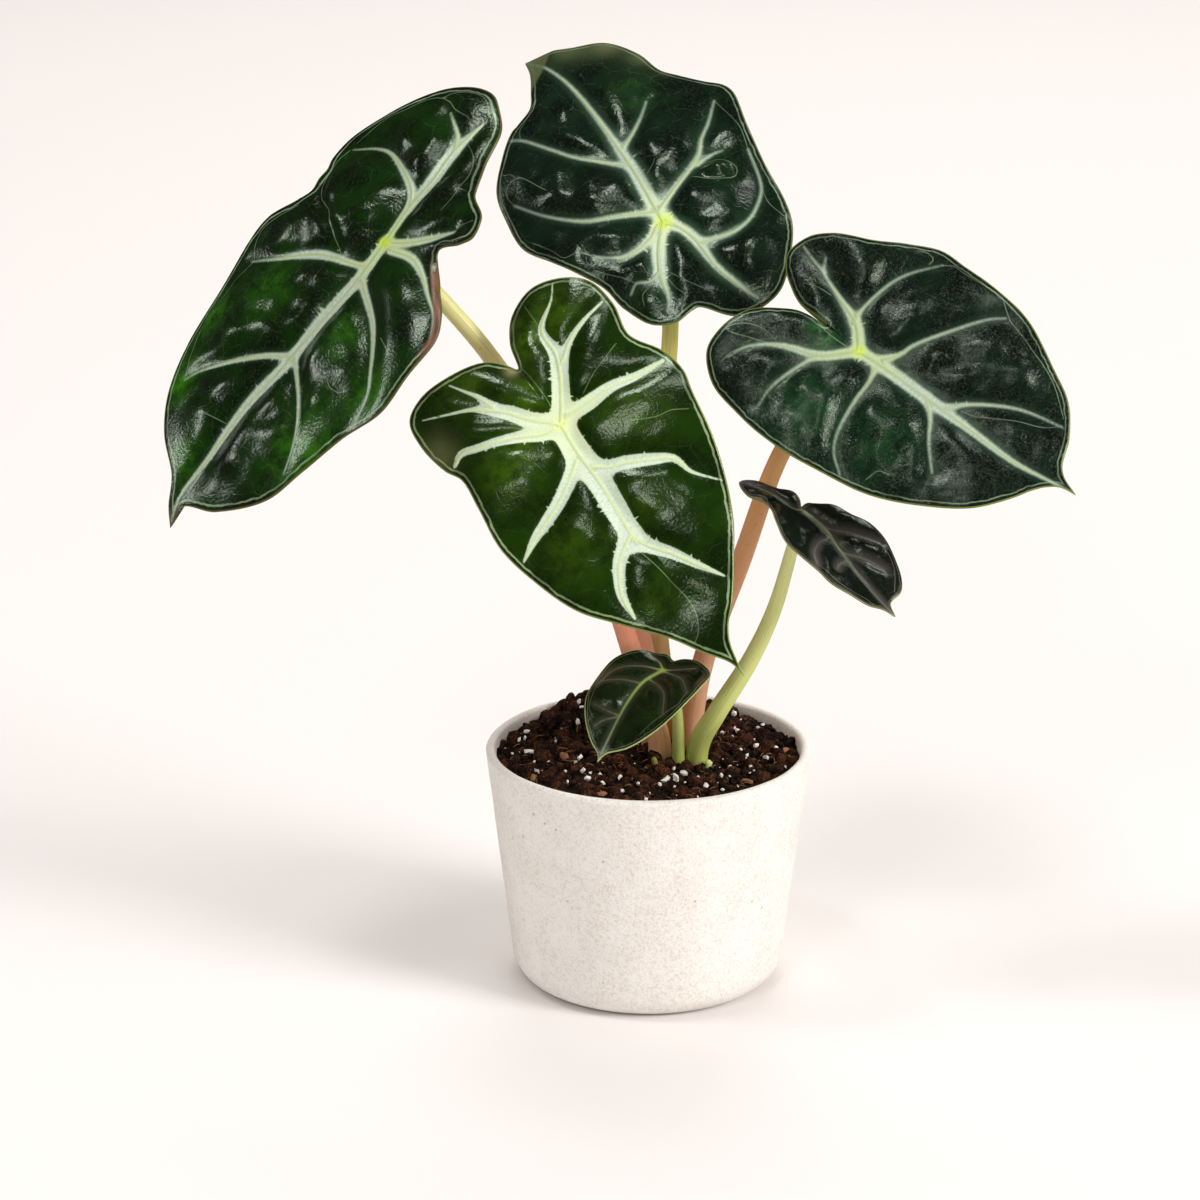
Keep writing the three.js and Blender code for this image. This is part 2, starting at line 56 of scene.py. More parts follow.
def lines(text):
    """The drawn lines in a text, each a list of places."""
    return [places(line) for line in text.split(";")]


MM = 0.001
FULL_TURN = 6.283

# Settings that many nodes share: an eased step between two values, and a mix of colours.
SMOOTH = {"interpolation_type": "SMOOTHSTEP"}
LAID_OVER = {"data_type": "RGBA"}

# Camera: the place and view of the photograph, in millimetres and degrees.
CAMERA_PLACE = (-17.8, -1563.0, 666.3)
CAMERA_TILT = 71.6
CAMERA_LENS = 135
CAMERA_SENSOR = 36

# Brightness of the room as it lights matt surfaces, and as glossy ones mirror it.
ROOM_LIGHT = 0.45
ROOM_REFLECTION = 0.03

# Lamps, in metres and watts: place, size, power, colour, whether the lamp lights matt surfaces,
# and whether glossy ones mirror it. All of them look at one place above the pot.
LAMP_TARGET = (0, 0, 0.16)
LAMPS = {
    "key_softbox": ((2.85, -1.7, 1.9), 1.3, 93, "#fffcfa", True, True),
    "top_softbox": ((-0.75, -0.35, 2.1), 0.4, 10, "#ffffff", True, True),
    "left_softbox": ((-2.16, 0.29, 1.04), 0.36, 5.5, "#ffffff", False, True),
    "front_softbox": ((-0.65, -1.7, 1.45), 0.4, 5, "#fffcf8", True, True),
    "high_softbox": ((-0.2, -1.0, 2.0), 0.4, 4.5, "#ffffff", False, True),
    "edge_softbox": ((1.05, 0.65, 2.05), 0.5, 6, "#ffffff", False, True),
    "back_softbox": ((0.2, 1.9, 2.2), 1.6, 27, "#fffefc", True, False),
}

# Floor and backdrop: how far in front the floor starts, how far behind it bends up and how
# roundly, and how high and wide it is.
FLOOR_FRONT = -12000
FLOOR_BEND = 2600
FLOOR_ROUND = 900
BACKDROP_HEIGHT = 4200
FLOOR_HALF_WIDTH = 6000

# Pot. Cast clay is uneven: by POT_UNEVEN, in swells of POT_SWELL that lie POT_SWELL_CLIMB times
# closer together up the wall, but for its foot and its middle.
POT_RIM_RADIUS = 60
POT_HEIGHT = 90
POT_WALL = 3.4
POT_FLOOR = 5
POT_TAPER = 0.121
POT_FOOT_FILLET = 11
POT_INNER_FILLET = 8
POT_SIDES = 224
POT_STEP = 2.2
POT_UNEVEN = 0.12
POT_SWELL = 34
POT_EVEN_FOOT = 20
POT_SWELL_CLIMB = 1.3
AXIS_GAP = 0.5

# Soil. A heap is its place, height and spread, and SOIL_HOLLOW is the depth between crumbs. What
# is strewn stays inside the pot's wall and off the stalks' feet.
SOIL_LEVEL = 85.5
SOIL_HEAPS = [(8, -2, 2, 16), (-20, 42, 8, 11), (24, 44, 4, 7), (0, -52, 1.5, 22)]
SOIL_CELLS = 225
SOIL_DEPTH = 8
SOIL_INTO_WALL = 0.3
SOIL_HOLLOW = -1.6
SOIL_REACH = 54
FEET_MIDDLE = (10, -2)
FEET_CLEAR = 9
CRUMBS = 5200
LOOSE_CRUMBS = 900

# Soil's surface: its waves, each a height, a length and a seed, and its crumbs. The sizes of crumbs
# and grains are gamma distributions: shape, scale and least size. Crumbs are so many times as tall
# as wide, and sunk by CRUMB_SUNK, but tall ones less. The soil's side is given a relief as low as
# its hollows, so that it is painted as dark as their painted shade.
SOIL_WAVES = [(0.4, 9, 8), (0.15, 1.6, 9)]
CRUMB_SIZES = (2, 0.32, 0.45)
CRUMB_TALL = (0.3, 1.2)
CRUMB_SUNK = 1.2
CRUMB_RAISED = 0.5
SKIRT_SHADED_RELIEF = -2

# Loose crumbs: sizes, how far above the soil their middles lie in shares of their size, roughness.
LOOSE_SIZES = (2.5, 0.5, 0.8)
LOOSE_RISE = 0.2
LOOSE_ROUGH = 0.4

# Grains of any kind: how they are squashed, and their bumps' number, closeness and strengths.
GRAIN_SQUASH = (0.62, 1.15)
BUMPS = 7
BUMP_CLOSENESS = 5
BUMP_STRENGTH = (0.2, 1)
BUMPS_EVENED = 2.6

# Fibres: how many, within which reach and of how many steps, the least and the most of their length,
# bearing, curl, rise and thickness, how far above the soil they lie, and how thin their ends are.
FIBRES = 170
FIBRE_REACH = 52
FIBRE_STEPS = 7
FIBRE_LEAST = (2, 0, -0.3, 0.1, 0.08)
FIBRE_MOST = (7, FULL_TURN, 0.3, 0.8, 0.18)
FIBRE_LIFT = 0.8
FIBRE_POINT = 0.02

# Seeds of what is drawn at random, so that every run gives the same plant.
SEEDS = dict(pot=5, crumbs=4, sizes=12, loose_places=13, loose_shapes=14, perlite_places=15,
             perlite_shapes=16, bark_shapes=17, fibres=18, fibre_places=19)

# White grains: the ones seen from the front, each the place and size of its lit part, which the
# whole grain passes by PERLITE_SWELL, how many more are strewn, of which sizes, how far above the
# soil their middles lie, in millimetres and in shares of their size, and their roughness.
PERLITE_SEEN = places("""
    12.8 -25.7 3, 17.8 -29.8 2.6, 9.2 -20.5 1.9, 9.8 -30.9 3.3, 6.4 -31.4 2.4, 29.8 -16.4 1.7,
    43.4 -5.9 2.4, 36.5 -3.7 1.9, 34.4 2.6 1.5, 22.6 -14.3 1.7, 32.9 38.6 2.4, 43.5 29.7 2.4,
    41.6 27.2 2, 31.5 16.6 1.7, 47.5 5.8 2, 28 21 1.9, 20.6 -37 2.4, 26.5 -25 1.5, -17.8 -24.7 1.9,
    -24.1 -20.5 2.7, -22.3 -29 2.6, -16.7 -33.1 1.5, -4 -35 1.7, 3.9 -36 1.7, -26.1 26.4 2,
    -45.2 22.1 2.4, -48 12.3 2.2, -44.1 0.5 2.8, -38.5 8 1.4, -40.9 -19.5 2, -9.8 -43 1.9, 20 -15 1.4,
    -34 12 1.9, -10.5 -28.5 2, 39.5 14 1.5""")
PERLITE_SWELL = 1.25
PERLITE_STREWN = 150
PERLITE_SIZES = (2, 0.4, 0.4)
PERLITE_LIFT = 0.5
PERLITE_RISE = 0.3
PERLITE_ROUGH = 0.5

# Chips of bark: each its place, length and turn, how long, wide and high they are for that, how far
# above the soil their middles lie, and their roughness.
BARK = places("""
    50.6 2.6 5 0.6, -31 -4 6.5 2, 30 47.5 9 1.2, -17 -45 5 0.3, 18 33 6 2.6, -42 -26 5.5 1.7,
    36 -30 5 2.9, -8 46 7 0.9""")
BARK_SHAPE = [1, 0.55, 0.42]
BARK_LIFT = 1.1
BARK_ROUGH = 0.16

# Leaves, as their solids are. bow and droop bend the tip and the back lobes down, and fold lifts
# the halves off the midrib, rounded by crease. roll turns the sides down and wave ripples the
# margin. puff swells the blade between its veins, over the width spread, and pucker makes it
# uneven but for its calm patches. A fold is a groove: its depth, width and line. A dent is a rise
# or hollow: its place, radius and height. Past a flap's two lines the tip is folded over. A vein's
# places end in its half width there, and threads are the hair-thin veins. flush and blush are
# patches of bright green and of brown-pink: place, radius and strength. The reaches are how far
# the blade's tip, back and sides are from its hub, cells is its grid, and seed draws its puckers.
LEAF = dict(slot="leaf_dark", crease=4, wave=2.5, spread=7, folds=[], calm=[], flap=[], flush=[], blush=[])
LEAVES = {
    "leaf_upper_left": dict(
        LEAF, hub=(-94, -5, 282), facing=(-0.53, -0.558, 0.638), tipward=(-0.661, -0.2, -0.724),
        tip_reach=130, back_reach=65, side_reach=60, cells=200, seed=3,
        bow=14, droop=8, fold=0.1, roll=7, wave_phase=0.6, puff=3, pucker=0.7,
        outline=places("""
        0 128, 6 123, 13 114, 29 105, 42 93, 52 75, 57 55, 60 33, 58 22, 49 10, 46 4, 49 -2, 55 -20,
        50 -36, 36 -53, 28 -60, 21 -64, 15 -65, 8 -62, 1 -57, -7 -43, -16 -34, -31 -29, -34 -22,
        -31 -17, -24 -10, -35 -1, -46 6, -53 14, -55 30, -55 45, -45 62, -38 80, -32 96, -15 112, 1 120"""),
        veins=lines("""
        0 0 2.4, -2 18 3, -1 38 2.9, 0 58 2.7, 3 76 2.2, 3 98 1.4, 4 118 0.6, 0 128 0.3;
        0 0 1.5, 3 -15 1.9, 4 -27 2.8, 7 -40 2.4, 8 -55 0.4;
        7 -40 1.4, 11 -45 0.9, 17 -48 0.6, 22 -50 0.3;
        3 -15 1.4, 8 -20 1.8, 17 -23 1.4, 30 -25 0.8, 38 -23 0.5, 48 -17 0.2;
        -1 11 1.2, 7 14 1.4, 17 17 2, 28 23 1.7, 38 30 0.8, 51 38 0.3;
        0 53 1.6, 9 58 1.2, 18 65 1, 27 73 0.7, 34 80 0.5, 38 86 0.25;
        -4 16 1.8, -23 24 1.3, -31 30 1, -38 37 0.7, -44 44 0.45, -47 55 0.2;
        -1 52 1.4, -8 56 1, -17 62 0.7, -24 69 0.5, -29 77 0.35, -32 85 0.2;
        0 0 1.4, -6 -3 1.8, -12 -7 1.7, -17 -11 1.6, -25 -19 0.4;
        -5 1 1.6, -17 -2 1.8, -26 0 1.2, -35 4 0.7, -44 8 0.4, -52 16 0.3"""),
        threads=lines("""
        13 14, 20 11, 26 8, 31 5, 38 4, 43 1, 48 -6, 49 -16; 8 -50, 14 -53, 21 -52, 27 -53, 34 -50,
        39 -45, 42 -40, 47 -34, 49 -20; 7 -55, 10 -59, 16 -62, 23 -60, 28 -56, 30 -52; 7 -46, -2 -43,
        -7 -37, -10 -30, -13 -22; -23 -16, -26 -22, -29 -26; 50 37, 54 33, 56 27, 52 19, 46 11; 50 37,
        51 54, 49 68, 38 86; -24 49, -28 51, -33 50, -36 47; -33 26, -42 28; 15 89, 4 86"""),
        folds=[(1.6, 3, places("17 13, 26 8, 38 4, 49 -6"))],
        dents=places("12 92 7 1.2, -9 92 7 1.3, 22 50 8 1, 34 62 7 0.9, 24 2 7 1.2, 18 -36 7 1.3"),
        calm=places("-32 22 26 0.85, -50 60 24 0.6"),
        flush=places("""
        -46 44 10 0.6, -34 74 14 0.6, 50 62 9 0.7, 40 88 9 0.8, 14 108 8 0.6, -18 34 9 0.4,
        30 40 12 0.35"""),
        blush=places("-33 -3 6 1, -43 5 6 1, -52 15 6 0.9, 0 128 4 0.9")),
    "leaf_top": dict(
        LEAF, hub=(5.5, 36, 279.5), facing=(-0.216, -0.652, 0.727), tipward=(-0.521, 0.706, 0.479),
        tip_reach=85, back_reach=62, side_reach=50, cells=190, seed=11,
        bow=8, droop=12, fold=0.08, roll=9, wave_phase=2, puff=3, pucker=0.62,
        outline=places("""
        1.5 109, 8 104, 17 98, 29 92, 36 79, 38 66, 42 59, 48 49, 52 43, 53 37, 48 18, 44 1, 41 -17,
        36 -31, 27 -42, 18 -48, 6 -48, -1 -45, -9 -37, -12 -37, -20 -38, -27 -33, -31 -19, -32 -8,
        -37 3, -42 15, -46 28, -44 45, -40 59, -31 69, -22 76, -11 80, -6 88, -1 99"""),
        veins=lines("""
        0 0 3.1, 1 8 3, 4 28 2.6, 5 40 1.9, 6 51 1.3, 7 79 0.7, 6 89 0.5, 1.5 109 0.25;
        3 31 1.3, -4 40 0.9, -10 48 0.65, -15 58 0.5, -21 70 0.35, -24 73 0.2;
        0 6 1.4, -13 14 1.2, -21 19 1, -27 26 0.6, -33 36 0.35, -38 48 0.2;
        6 39 1.6, 10 41 1, 15 44 0.7, 20 48 0.4, 25 53 0.2;
        2 6 1.6, 14 11 1.3, 26 17 1.1, 31 23 0.7, 37 28 0.5, 45 37 0.2;
        23 14 0.9, 29 14 0.6, 34 13 0.25;
        0 0 2.2, 3 -5 2.2, 5 -13 2.2, 5 -27 1.4, 8 -39 0.8, 10 -45 0.3;
        6 -16 1.6, 11 -18 1.1, 18 -20 0.9, 25 -19 0.7, 31 -15 0.5, 37 -8 0.35, 42 8 0.2;
        0 0 2.6, -5 -5 2.9, -10 -12 3, -14 -20 1.8, -16 -28 0.6, -19 -32 0.25;
        -13 -17 1.2, -18 -18 0.6, -22 -15 0.3, -26 -17 0.2;
        -3 0 2, -8 -3 2, -14 -4 1.5, -20 -3 1, -24 0 0.4, -28 4 0.2"""),
        threads=lines("""
        -21 70, -19 74, -15 76, -11 79, -7 82; -38 48, -38 54, -35 57, -31 56, -29 52, -26 42; -28 4,
        -32 9, -37 11, -39 18, -42 27; -15 -19, -21 -16, -24 -11, -31 -1; -15 -20, -20 -20, -23 -21,
        -25 -25; -12 -22, -12 -26, -11 -30; -10 -20, -8 -26, -6 -29, -2 -35; 6 -35, 8 -39, 12 -41;
        8 -39, 8 -43, 9 -46; 42 8, 40 -1, 37 -8, 35 -17, 36 -25; 42 8, 45 18, 45 30, 45 37; 25 13,
        29 11, 33 7, 34 3, 31 0, 26 2, 22 6, 19 9; 7 22, 11 24, 12 25"""),
        folds=[(0.9, 2.2, places("25 13, 33 7, 31 0, 22 6"))],
        dents=places("29 8 4 1.3, -14 26 8 0.9, 18 66 9 1.3, 16 0 7 1, -22 8 7 0.8, 20 -30 6 0.9"),
        flap=places("-19 76 9 99 0.5"), flush=places("22 60 10 0.5, 30 10 8 0.35, -22 -22 9 0.3"),
        blush=places("29 90 7 0.7, 37 76 6 0.55, 16 97 7 0.5, 41 64 4 0.4")),
    "leaf_front": dict(
        LEAF, slot="leaf_bright", hub=(-31.5, -42, 225.5), facing=(-0.156, -0.862, 0.482),
        tipward=(0.567, -0.478, -0.671),
        tip_reach=112, back_reach=45, side_reach=46, cells=200, seed=7,
        bow=12, droop=6, fold=0.12, roll=6, wave_phase=1.2, puff=2.4, spread=5.5, pucker=0.16,
        outline=places("""
        0 110, 1 104, 7 95, 13 85, 24 71, 34 57, 40 40, 43 24, 41 8, 40 -5, 43 -12, 45 -25, 43 -35,
        35 -39, 23 -39, 9 -36, 3 -30, 1 -27, -2 -37, -8 -45, -19 -49, -30 -45, -38 -37, -40 -25,
        -38 -13, -44 -1, -46 10, -44 19, -41 34, -36 49, -29 64, -22 74, -12 87, -6 93, -3 98"""),
        veins=lines("""
        0 0 4, 1 10 4.7, 1 26 4.4, 2 38 4.2, 3 50 3.2;
        0 0 3.4, -3 -4 3.4, -10 -15 3.2, -13 -22 2.6, -14 -33 1.4, -23 -40 0.4, -27 -45 0.25;
        -13 -18 1.6, -20 -23 1.2, -28 -26 0.8, -38 -28 0.35;
        -3 -1 2.6, -12 0 2.9, -22 0 2.2, -31 2 1.6, -42 3 0.8;
        0 19 2.2, -5 23 2.5, -10 25 2.5, -19 30 2.2, -25 34 1.4, -27 41 0.7, -34 50 0.3;
        3 48 3, 0 54 2.6, -5 61 2.1, -9 68 1.5, -15 78 0.4;
        0 0 3, 8 -8 2.9, 13 -15 2.8, 18 -20 1.7, 23 -24 0.8, 29 -27 0.5, 39 -32 0.25;
        16 -20 1.5, 18 -26 0.9, 21 -31 0.5, 24 -36 0.3;
        4 0 2.4, 8 -1 2.5, 13 -4 2.3, 21 -8 1.8, 29 -11 1.5, 35 -13 1.3, 39 -11 0.8;
        3 14 2.6, 10 19 2.7, 17 23 2.5, 25 26 2.2, 31 28 1.6, 39 32 0.4;
        3 47 3, 11 52 2.5, 15 57 2.2, 18 63 1.8, 19 72 0.5"""),
        threads=lines("""
        4 53, 2 62, 1 70, 0 78, 1 84, 4 89, 7 91; 0 -4, -1 -9, -1 -19, 0 -28; -13 -4, -19 -7, -27 -10,
        -32 -12; -14 -33, -14 -39, -14 -44; -36 -27, -38 -30, -36 -35, -32 -38; -21 15, -29 19, -34 20,
        -39 23"""),
        dents=places("24 10 9 0.8, 14 36 9 0.8, 2 76 12 -1.2, -5 88 13 1.1, -26 60 15 1.7"),
        flush=places("""
        12 -2 9 0.8, -8 -34 9 0.9, -24 -36 8 0.7, 26 4 10 0.6, 22 40 12 0.4, -24 12 12 0.5,
        -6 40 9 0.35, 8 70 8 0.3, 20 -32 8 0.7, 4 -16 7 0.9"""),
        blush=places("3 -27 2.5 0.9, 42 -18 7 0.35, 0 110 3 0.9")),
    "leaf_right": dict(
        LEAF, hub=(73.7, -25, 247.5), facing=(-0.117, -0.79, 0.602), tipward=(0.796, -0.436, -0.418),
        tip_reach=98, back_reach=48, side_reach=49, cells=190, seed=19,
        bow=6, droop=5, fold=0.08, roll=5, wave_phase=0, puff=2.6, pucker=0.85,
        outline=places("""
        0 93, 1 87, 4 83, 8 80, 15 76, 26 67, 35 51, 41 34, 44 17, 46 2, 45 -11, 42 -24, 38 -37,
        31 -45, 26 -47, 16 -46, 8 -42, 2 -34, -1.5 -27, -1.5 -15, -4 -29, -8 -36, -13 -42, -19 -45,
        -27 -42, -32 -35, -37 -21, -44 -10, -49 1, -48 13, -46 29, -43 43, -34 60, -27 71, -16 79,
        -6 83, -3 86"""),
        veins=lines("""
        0 0 2.2, 0 9 2.6, 1 29 2.6, 2 49 1.7, 3 69 1.1, 1 85 0.5, 0 93 0.25;
        0 0 2.4, -4 -3 2.5, -8 -7 2.2, -13 -18 0.9, -18 -28 0.4, -23 -31 0.2;
        -18 -28 0.35, -20 -34 0.25, -23 -41 0.2;
        -8 -8 1.2, -14 -8 0.6, -21 -7 0.5, -29 -5 0.45, -35 -2 0.35, -44 5 0.2;
        -2 9 1.8, -7 13 0.9, -12 15 0.65, -23 22 0.55, -35 31 0.3, -39 36 0.2;
        1 37 1.6, -5 43 0.8, -12 54 0.55, -15 61 0.45, -18 75 0.2;
        0 0 2.2, 5 -5 2.1, 9 -10 1.9, 13 -23 1.2, 16 -29 0.7, 21 -35 0.4, 27 -38 0.2;
        10 -11 0.9, 16 -14 0.6, 29 -18 0.4, 36 -18 0.2;
        3 9 1, 8 10 0.65, 16 10 0.6, 30 12 0.4, 36 15 0.3, 41 21 0.2;
        1 30 1.3, 7 36 0.8, 12 39 0.55, 15 41 0.4, 23 48 0.2"""),
        threads=lines("""
        -44 5, -46 8, -45 15, -45 27, -44 32, -40 36, -36 47, -30 62, -21 73; -42 1, -44 1, -45 -2,
        -44 -5; 13 -27, 12 -32, 13 -38, 16 -43, 19 -45; 15 -28, 17 -35, 19 -42, 19 -45; 16 -29, 20 -34,
        25 -38, 29 -39; -12 -21, -12 -27, -11 -32; -2 43, -3 48, -6 54, -10 61, -14 70, -18 74; 37 30,
        33 32, 32 36; 1 -5, 1 -12, -1 -19"""),
        folds=[(1, 3, places("-10 28, -22 40, -32 50"))],
        dents=places("-20 10 9 1.2, -24 44 9 1.3, 18 26 8 1, 20 62 8 0.9, -28 -22 7 0.9, 24 -22 6 0.8"),
        flush=places("1 -17 4 1, 4 -10 5 1, 30 -4 14 0.5, 24 26 14 0.4")),
    "leaf_small_right": dict(
        LEAF, slot="leaf_young", hub=(55, -25, 188), facing=(0.314, -0.422, 0.85),
        tipward=(0.634, -0.573, -0.519),
        tip_reach=52, back_reach=24, side_reach=20, cells=120, seed=23,
        bow=4, droop=3, fold=0.42, crease=1.5, roll=2, wave=1, wave_phase=0.5, puff=1.7, spread=3,
        pucker=0.5,
        outline=places("""
        0 52, 3 49, 11 46, 15.5 40.5, 19.5 33.5, 20 26.5, 21.5 19, 23.5 11.5, 20.5 2.5, 14 -7.5,
        18.5 -13, 16 -20, 2.5 -16, -3.5 -10.5, -1 -2.5, -5 -1.5, -9.5 4, -12.5 11, -16 17.5, -17 25.5,
        -15 34, -11.5 42, -8 45.5, -2 47"""),
        veins=lines("""
        0 -1 0.8, -1.5 8.5 0.7, 0 21 0.55, 2 33 0.4, 1.5 44.5 0.3, 0 52 0.2;
        -1 4 0.3, -2.5 10.5 0.2, -8 17 0.15, -14 25.5 0.15;
        -0.5 21.5 0.4, -4.5 27.5 0.3, -8.5 35.5 0.15;
        -1 13.5 0.4, 6.5 15 0.2, 15 19.5 0.15, 18 24 0.15;
        1 25 0.4, 7.5 26.5 0.25, 11 28.5 0.15;
        0 -1 0.5, 4 -2.5 0.4, 8 -12 0.3, 15.5 -19.5 0.15"""),
        threads=lines("""
        -14 25.5, -12 36, -6 44; 18 24, 16 36, 8 46"""),
        dents=places("8 8 5 0.8, 10 36 5 0.7, -8 28 4 0.7")),
    "leaf_small_front": dict(
        LEAF, slot="leaf_young", hub=(5, -28, 129), facing=(-0.107, -0.556, 0.824),
        tipward=(-0.567, -0.647, -0.51),
        tip_reach=48, back_reach=8, side_reach=20, cells=110, seed=29,
        bow=5, droop=1, fold=0.3, crease=1.5, roll=2, wave=0.8, wave_phase=0, puff=1, spread=3, pucker=0.4,
        outline=places("""
        -0.5 43.5, 1 41, 5.5 38.5, 11.5 33, 16.5 25, 18 15.5, 17.5 7.5, 14.5 2, 8.5 -4, 2 -6.5,
        -0.5 -6, -3.5 -9, -11.5 -8.5, -17.5 -5.5, -17.5 1, -17 13, -13 25.5, -7.5 34.5, -1.5 39.5"""),
        veins=lines("""
        0 0 0.7, 3 8 0.55, 3 19 0.42, 2 27.5 0.34, 0.5 37 0.28, -0.5 43.5 0.2;
        0 0 0.4, 7.5 3.5 0.2, 14 9.5 0.13, 16 19 0.1;
        3 9 0.3, 10.5 12.5 0.16, 16 17 0.1;
        3 24.5 0.3, 7 25.5 0.18, 12 26 0.1;
        3 25.5 0.25, 6 29 0.15, 7.5 33 0.1;
        0 0 0.5, -3.5 -1.5 0.22, -11 -5.5 0.2;
        0 0.5 0.4, -4.5 0.5 0.18, -9 1 0.13, -14.5 5.5 0.1;
        2 6 0.35, -1.5 6.5 0.18, -6.5 9 0.13, -12 17.5 0.1;
        0 0 0.4, 3 -2 0.3, 8 -2.5 0.15"""),
        threads=lines("""
        -14.5 5.5, -15 12, -12 17.5, -9 28; 16 19, 13 28, 10 30.5"""),
        dents=places("9 20 5 0.6, -8 12 5 0.6, -8 24 4 0.5"), flush=places("4 8 6 0.4, -8 20 6 0.3"),
        blush=places("-16 -2 4 0.5, 15 14 4 0.3")),
}

# Blades: their thickness, the ribs under the veins, and how far the rim's edges are drawn in.
# Puckers have these sizes where spread is as large as on the large leaves. Lines are rounded into so
# many points, and each vein's tufts are shifted from the last one's.
BLADE_THICKNESS = 0.6
RIB_HEIGHT = 1.1
RIM_INSET = 0.2
LARGE_SPREAD = 7
LARGE_PUCKER = 15
FINE_PUCKER = 7
FINE_SHARE = 0.12
FLAP_ROUND = 1.2
VEIN_POINTS = 26
THREAD_POINTS = 18
VEIN_SHIFT = 41

# Blades, in shares of their own measures: how far bands melt into each other and the swelling is
# blurred, where it starts, the ribs' width, the ripples round the margin, and how brown a folded
# tip is, over how many millimetres.
BAND_MELT = 0.25
SWELLING_BLUR = 0.4
SWELLING_START = 1.25
RIB_WIDTH = 1.3
RIPPLES = 5
FLAP_BROWN = 0.8
FLAP_EDGE = 1.5

# Stalks run through their points from the soil to the hub's underside. Their colours lie at shares
# of the way from foot to top.
STALKS = {
    "stalk_upper_left": dict(
        leaf="leaf_upper_left", foot=4.3, top=2.8, slot="stalk_pink",
        route=places("2 6 77, 1.5 5 95, -2.8 -3 132, -22 -7 180, -55 -4 236.7, -75 -4 261.5"),
        colours={0: "#e0a878", 0.3: "#eaa88a", 0.6: "#e4d294", 1: "#e8ec9a"}),
    "stalk_top": dict(
        leaf="leaf_top", foot=3.6, top=2.9, slot="stalk_olive",
        route=places("9 12.5 77, 8.6 12 96, 4.2 6 128, 2 13 170, 6 25 215, 8 31 244"),
        colours={0: "#cfa574", 0.35: "#d8b87c", 0.8: "#f0ec88", 1: "#f6fa90"}),
    "stalk_front": dict(
        leaf="leaf_front", foot=4.4, top=2.8, slot="stalk_pink",
        route=places("4 -6 77, 4 -6.5 94, -2 -11 115, -7.7 -15.5 136.5, -18 -22 172, -27 -30 204"),
        colours={0: "#ffd49a", 0.2: "#f4b084", 0.5: "#e6957a", 1: "#d2b070"}),
    "stalk_right": dict(
        leaf="leaf_right", foot=4.3, top=2.9, slot="stalk_pink",
        route=places("15.5 6 77, 16.8 3 102, 20.8 0 125, 33.7 2 160.7, 46.7 1 199.5, 60 -8 226"),
        colours={0: "#e4b694", 0.3: "#dca07c", 0.6: "#dca46c", 1: "#d2aa62"}),
    "stalk_small_right": dict(
        leaf="leaf_small_right", foot=4.4, top=2, slot="stalk_pale",
        route=places("""
        17.3 -7.5 77, 18.6 -12.5 95, 24.8 -18 109, 37.1 -20 130.7, 45 -20 149, 51.3 -21.5 173"""),
        colours={0: "#bcc45c", 0.3: "#d2da82", 0.7: "#e4e898", 1: "#f0f2b0"}),
    "stalk_small_front": dict(
        leaf="leaf_small_front", foot=2.7, top=1.5, slot="stalk_pale",
        route=places("11 -12.5 77, 11 -12.8 92, 10.8 -15 101, 9.6 -20 115"),
        colours={0: "#a4ae50", 0.5: "#c0cc74", 1: "#c6d07c"}),
    "shoot_tip": dict(
        leaf=None, foot=2.3, top=1, slot="stalk_pale",
        route=places("3.5 -15 79, 3 -15.3 85, 2 -15.8 90"),
        colours={0: "#6c6230", 1: "#8a8c44"}),
    "shoot_stub": dict(
        leaf=None, foot=1.8, top=1.3, slot="stalk_pale",
        route=places("21.5 -15.4 79, 21.6 -15.6 84, 21.9 -15.8 88.6"),
        colours={0: "#a8b458", 1: "#d2de8c"}),
}

# Stalks: their grid, their round ends, how far they go into a hub, and a direction that no stalk
# takes, which their sides are at right angles to.
STALK_SIDES = 28
STALK_STEPS = 110
STALK_CAP = 8
STALK_CAP_START = 0.1
STALK_IN_HUB = 0.5
NO_STALKS_WAY = (0, 1, 0.3)

# How a leaf's surface looks: colours, sizes in millimetres, and strengths between 0 and 1.
LOOK = dict(
    dark="#081405", mid="#102608", bright="#255409", halo="#38553c", band="#ccdac6", band_shade="#7f9c80",
    hub_band="#c8dba0", cord="#a9c16c", hub="#c8e448", blush="#86594a", thread="#8da483",
    collector_colour="#9bb093", rim="#5d5733", collector=(2, 0.3, 0.75), rim_mm=0.42, blush_mm=3.2,
    hub_mm=2.2, feather=1.8, hairy=1.2, slim=0.15, soft=0.55, band_strength=0.95, halo_mm=2.4,
    halo_strength=0.45, cord_mm=0.5, cord_strength=0.75, thread_strength=0.5, net_mm=9, net_strength=0.07,
    pebble_mm=1.1, pebble=0.38, worm=0, wrinkle=0.06, rough=0.18, gloss=0.5, halo_thin=0.2, thin_grey=0,
    # The pebbles' paler tops are partly the leaf's own pale grain and partly a painted sparkle of
    # highlights.
    pale_grain_and_sparkle=0.16, frost_shade="#4c5e46", under="#5c6a4c", under_blush="#80665a", under_halo="#77825a",
    under_rib="#a09f74",
)
